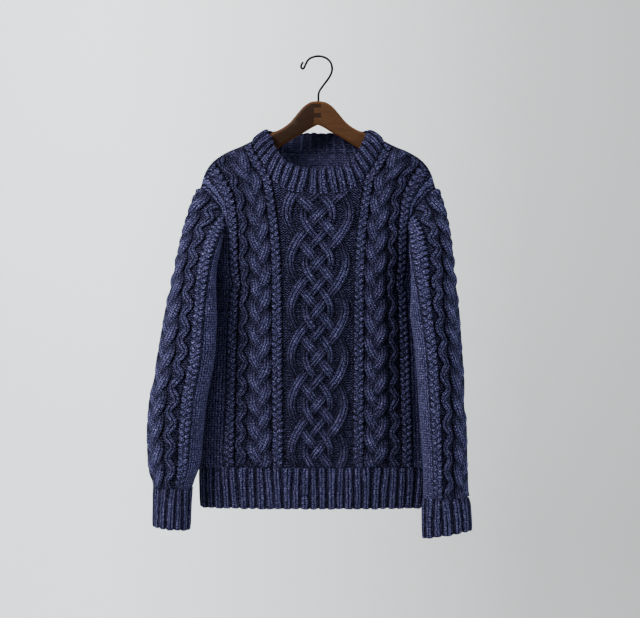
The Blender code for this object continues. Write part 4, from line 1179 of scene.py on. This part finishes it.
def wool_material():
    """Marled dark blue wool.

    A stitch on the right side is two legs that lean together into a V: each
    wale is a round ridge, split along its middle, times a wave that leans up
    to both sides. On the reverse side it is a wavy ridge for each course.
    Flecks of light and dark fibre colour the yarn. Painted shade darkens the
    hollows between stitches, and the painted shade kept at each point darkens
    the gaps between cables, the strands' edges and the ribs' gullies.
    """
    look = Look("marled_wool")
    u, v, _ = look.parts(look.add("UVMap", uv_map="stitches")[0])
    reverse = look.attribute("reverse_side")
    # painted shade kept at each point: 0 deep in the hollows, 1 on top
    light = look.attribute("painted_light")
    wobble = (look.noise(160.0, 1.0) - 0.5) * 0.60
    a = ((u + wobble).make("FRACT") - 0.5).make("ABSOLUTE")
    wale = (a * 2.0).make("POWER", 3.0) * -1.0 + 1.0
    split = (a * a * -180.0).make("EXPONENT") * -0.35 + 1.0
    wave = ((v + wobble - a * 1.6) * (2 * math.pi)).make("COSINE") * 0.5 + 0.5
    knit_side = wale * split * (wave * 0.50 + 0.50)
    ripple = (u * (2 * math.pi)).make("COSINE") * 0.25
    purl_side = ((v + wobble + ripple) * (2 * math.pi)).make("COSINE") * 0.5 + 0.5
    height = knit_side + (purl_side - knit_side) * reverse
    fleck = look.add("ValToRGB", {"Fac": look.noise(520.0, 3.0, 0.7)})
    colours = fleck[0].node.color_ramp.elements
    colours[0].position = 0.40
    colours[0].color = (0.022, 0.022, 0.058, 1.0)
    colours[1].position = 0.66
    colours[1].color = (0.500, 0.495, 0.980, 1.0)
    colours.new(0.50).color = (0.122, 0.121, 0.320, 1.0)
    # painted shade: darker in the hollows between stitches and by the painted shade kept at each point,
    # times random tone
    painted_stitch_shade = height.make("POWER", 2.3) * 0.98 + 0.02
    painted_hollow_shade = light.make("POWER", 2.0) * 0.96 + 0.04
    painted_shade_and_tone = painted_stitch_shade * painted_hollow_shade * (look.noise(28.0, 2.0) * 0.5 + 0.75)
    grey = look.add("CombineColor", {"Red": painted_shade_and_tone, "Green": painted_shade_and_tone, "Blue": painted_shade_and_tone})[0]
    return look.finish(
        height + look.noise(1700.0, 2.0) * 0.35, 1.0, 0.0016,
        Base_Color=look.mix(1.0, fleck[0], grey, "MULTIPLY"),
        Roughness=0.95,
        Sheen_Weight=0.03,
        Sheen_Roughness=0.4,
        Sheen_Tint=(0.5, 0.55, 0.9, 1.0),
        Specular_IOR_Level=0.04,
    )


def wood_material():
    """Old stained wood with a painted highlight along its narrow edges, darker left of a stepped finger
    joint.
    """
    look = Look("hanger_wood")
    x, y, z = look.parts(look.place)
    step = ((z + 0.1064) / 0.017).make("FRACT").make("LESS_THAN", 0.45) * z.make("GREATER_THAN", -0.1070)
    edge = x - (step * 0.0124 - 0.0077)
    seam = edge.make("ABSOLUTE").make("LESS_THAN", 0.0006)
    grain = look.noise(1.6, 6.0, 0.7, stretch=(14.0, 90.0, 90.0))
    pore = look.noise(1.0, 2.0, stretch=(60.0, 700.0, 700.0))
    dark = look.mix(grain, (0.009, 0.004, 0.0015, 1.0), (0.036, 0.015, 0.006, 1.0))
    light = look.mix(grain, (0.030, 0.012, 0.005, 1.0), (0.108, 0.048, 0.018, 1.0))
    colour = look.mix(edge.make("GREATER_THAN", 0.0), dark, light)
    colour = look.mix(seam * 0.85, colour, (0.010, 0.005, 0.003, 1.0))
    worn = (look.noise(35.0, 4.0) - 0.58) * 2.2
    colour = look.mix(worn.make("MAXIMUM", 0.0), colour, (0.085, 0.045, 0.024, 1.0))
    # painted highlight: a lighter orange along the narrow top and bottom faces and the thin ends
    painted_edge_highlight = y.make("ABSOLUTE").make("LESS_THAN", 0.0056) * 0.5
    return look.finish(
        grain + pore * 0.4 - seam * 1.2, 0.35, 0.0006,
        Base_Color=look.mix(painted_edge_highlight, colour, (0.170, 0.062, 0.018, 1.0)),
        Roughness=pore * 0.25 + 0.36,
        Specular_IOR_Level=0.15,
    )


def wire_material():
    """Black lacquered wire, rubbed brighter in patches."""
    look = Look("black_wire")
    patch = look.noise(180.0, 3.0)
    rubbed = ((patch - 0.56) * 5.0).make("MAXIMUM", 0.0).make("MINIMUM", 1.0)
    return look.finish(
        patch, 0.2, 0.0003,
        Base_Color=look.mix(rubbed, (0.006, 0.006, 0.007, 1.0), (0.030, 0.026, 0.023, 1.0)),
        Roughness=patch * 0.3 + 0.40,
        Specular_IOR_Level=0.06,
    )


def backdrop_material():
    """Pale paper with painted shade, darker to the right."""
    look = Look("pale_backdrop")
    # painted shade: the paper's colour darkens from left to right
    share = (look.parts(look.place)[0] * 0.55 + 0.5).make("MINIMUM", 1.0).make("MAXIMUM", 0.0)
    colour = look.mix(share, (0.96, 0.99, 1.0, 1.0), (0.54, 0.55, 0.55, 1.0))
    return look.finish(Base_Color=colour, Roughness=0.9)


def build_hanger(wood):
    """Hanger body: at each station a tall section, rounded at its top and its bottom."""
    half_line = HANGER_ARM[-1][0] * np.sin(np.linspace(0.0, math.pi / 2, 90))
    stations = np.concatenate([-half_line[:0:-1], half_line])
    top, bottom, thick = (read(HANGER_ARM, np.abs(stations), k)[:, None] for k in (1, 2, 3))
    fall = np.minimum(1.4 * thick, (top - bottom) / 2)
    quarter = np.linspace(0.0, math.pi / 2, 8)
    across = np.concatenate([np.sin(quarter), np.sin(quarter)[::-1]])
    y = np.concatenate([across, -across[::-1][1:-1]])
    upper = top - fall * (1 - np.cos(quarter))
    lower = bottom + 0.55 * fall * (1 - np.cos(quarter[::-1]))
    right = np.concatenate([upper, lower], axis=1)
    z = np.concatenate([right, right[:, ::-1][:, 1:-1]], axis=1)
    points = np.stack(np.broadcast_arrays(stations[:, None], thick * y, z), axis=-1)
    middle = points.mean(axis=1, keepdims=True)
    tips = []
    for row, sideways in ((0, -TIP_BULGE), (-1, TIP_BULGE)):
        bulge = middle[row] + np.array([sideways, 0.0, 0.0])
        tips.append(bulge + (points[row] - middle[row]) * np.array([0.6, 0.0])[:, None, None])
    points = np.concatenate([tips[0][::-1], points, tips[1]])
    piece = Piece("hanger_wood")
    outward = points - points.mean(axis=1, keepdims=True)
    piece.add(points, (0.0, 0.0), 0.0, outward=outward, closed=True)
    piece.build(wood, "hanger_wood", "hanger_body")


def build_hook(black):
    """Hook: a round section carried along its line, with a small ball at the free end."""
    knots = np.arange(len(HOOK_LINE))
    where = np.linspace(0, knots[-1], HOOK_RINGS)
    x, z = (smooth(where, knots, values) for values in zip(*HOOK_LINE))
    line = np.stack([x, np.zeros(len(where)), z], axis=-1)
    for _ in range(HOOK_SMOOTHING):
        line[1:-1] = line[1:-1] * 0.5 + (line[:-2] + line[2:]) * 0.25
    along = unit(np.gradient(line, axis=0))
    depth = np.array([0.0, 1.0, 0.0])
    across = unit(np.cross(along, depth))
    turn = (np.arange(20) / 20 * 2 * math.pi)[:, None]
    cap = np.linspace(0.0, math.pi / 2, 7)[1:]
    radius = np.concatenate([np.ones(len(line)), np.maximum(np.cos(cap), 0.0)]) * WIRE_RADIUS
    line = np.concatenate([line, line[-1] + along[-1] * WIRE_RADIUS * np.sin(cap)[:, None]])
    across = np.concatenate([across, np.repeat(across[-1:], len(cap), axis=0)])
    ring = np.cos(turn) * across[:, None, :] + np.sin(turn) * depth
    piece = Piece("hook_wire")
    points = line[:, None, :] + radius[:, None, None] * ring
    piece.add(points, (0.0, 0.0), 0.0, outward=ring, closed=True)
    piece.build(black, "hook_wire", "hanger_hook")


def build_backdrop():
    """Pale floor and backdrop, well clear of the sweater, with a round bend between."""
    half = 5.0
    floor_z = -2.2
    wall_y = 4.6
    bend = 0.8
    arc = np.linspace(0.0, math.pi / 2, 13)
    y = np.concatenate([[-half], wall_y - bend + bend * np.sin(arc), [wall_y]])
    z = np.concatenate([[floor_z], floor_z + bend * (1 - np.cos(arc)), [3.4]])
    sides = [np.stack(np.broadcast_arrays(x, y, z), axis=-1) for x in (-half, half)]
    points = np.concatenate(sides).tolist()
    n = len(y)
    mesh = bpy.data.meshes.new("backdrop")
    mesh.from_pydata(points, [], [(k, k + n, k + n + 1, k + 1) for k in range(n - 1)])
    mesh.shade_smooth()
    mesh.materials.append(backdrop_material())
    new_object("backdrop", mesh)


def aim_at(item, place, target):
    """Puts a light or the camera at a place, looking at a target."""
    item.location = place
    item.rotation_euler = (Vector(target) - Vector(place)).to_track_quat("-Z", "Y").to_euler()


def build_stage():
    """Backdrop, soft light from the left, and the camera."""
    build_backdrop()
    scene = bpy.context.scene
    scene.world = bpy.data.worlds.new("studio")
    scene.world.use_nodes = True
    colour, strength = scene.world.node_tree.nodes["Background"].inputs[:2]
    colour.default_value = (0.96, 0.98, 1.0, 1.0)
    strength.default_value = 0.40
    for name, place, target, size, watts, tint in LIGHTS:
        light = bpy.data.lights.new(name, "AREA")
        light.size = size
        light.energy = watts
        light.color = tint
        aim_at(new_object(name, light), place, target)
    camera = bpy.data.cameras.new("camera")
    camera.sensor_width = 36.0
    camera.lens = 36.0 * CAMERA_DISTANCE / PICTURE_WIDTH
    camera.clip_end = 30.0
    scene.camera = new_object("camera", camera)
    target = (CAMERA_ACROSS, 0.0, CAMERA_HEIGHT)
    aim_at(scene.camera, (CAMERA_ACROSS, -CAMERA_DISTANCE, CAMERA_HEIGHT), target)


def main():
    """Builds every piece and the stage."""
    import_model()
    wool = wool_material()
    halves = {}
    for name in PANELS:
        halves[name] = half_panel(name)
        build_panel(name, wool)
        build_hem(name, wool)
    # the armhole seam of the +X side, closed: from its top down the back and up the front
    front, back = (halves[name][0][UNDERARM_ROW * FINE:, -1] for name in PANELS)
    seam = np.concatenate([back[::-1], front[1:]])
    for prefix in SLEEVES:
        build_sleeve(prefix, seam, wool)
        build_cuff(prefix, wool)
    build_neckband(halves, wool)
    build_hanger(wood_material())
    build_hook(wire_material())
    build_stage()


main()
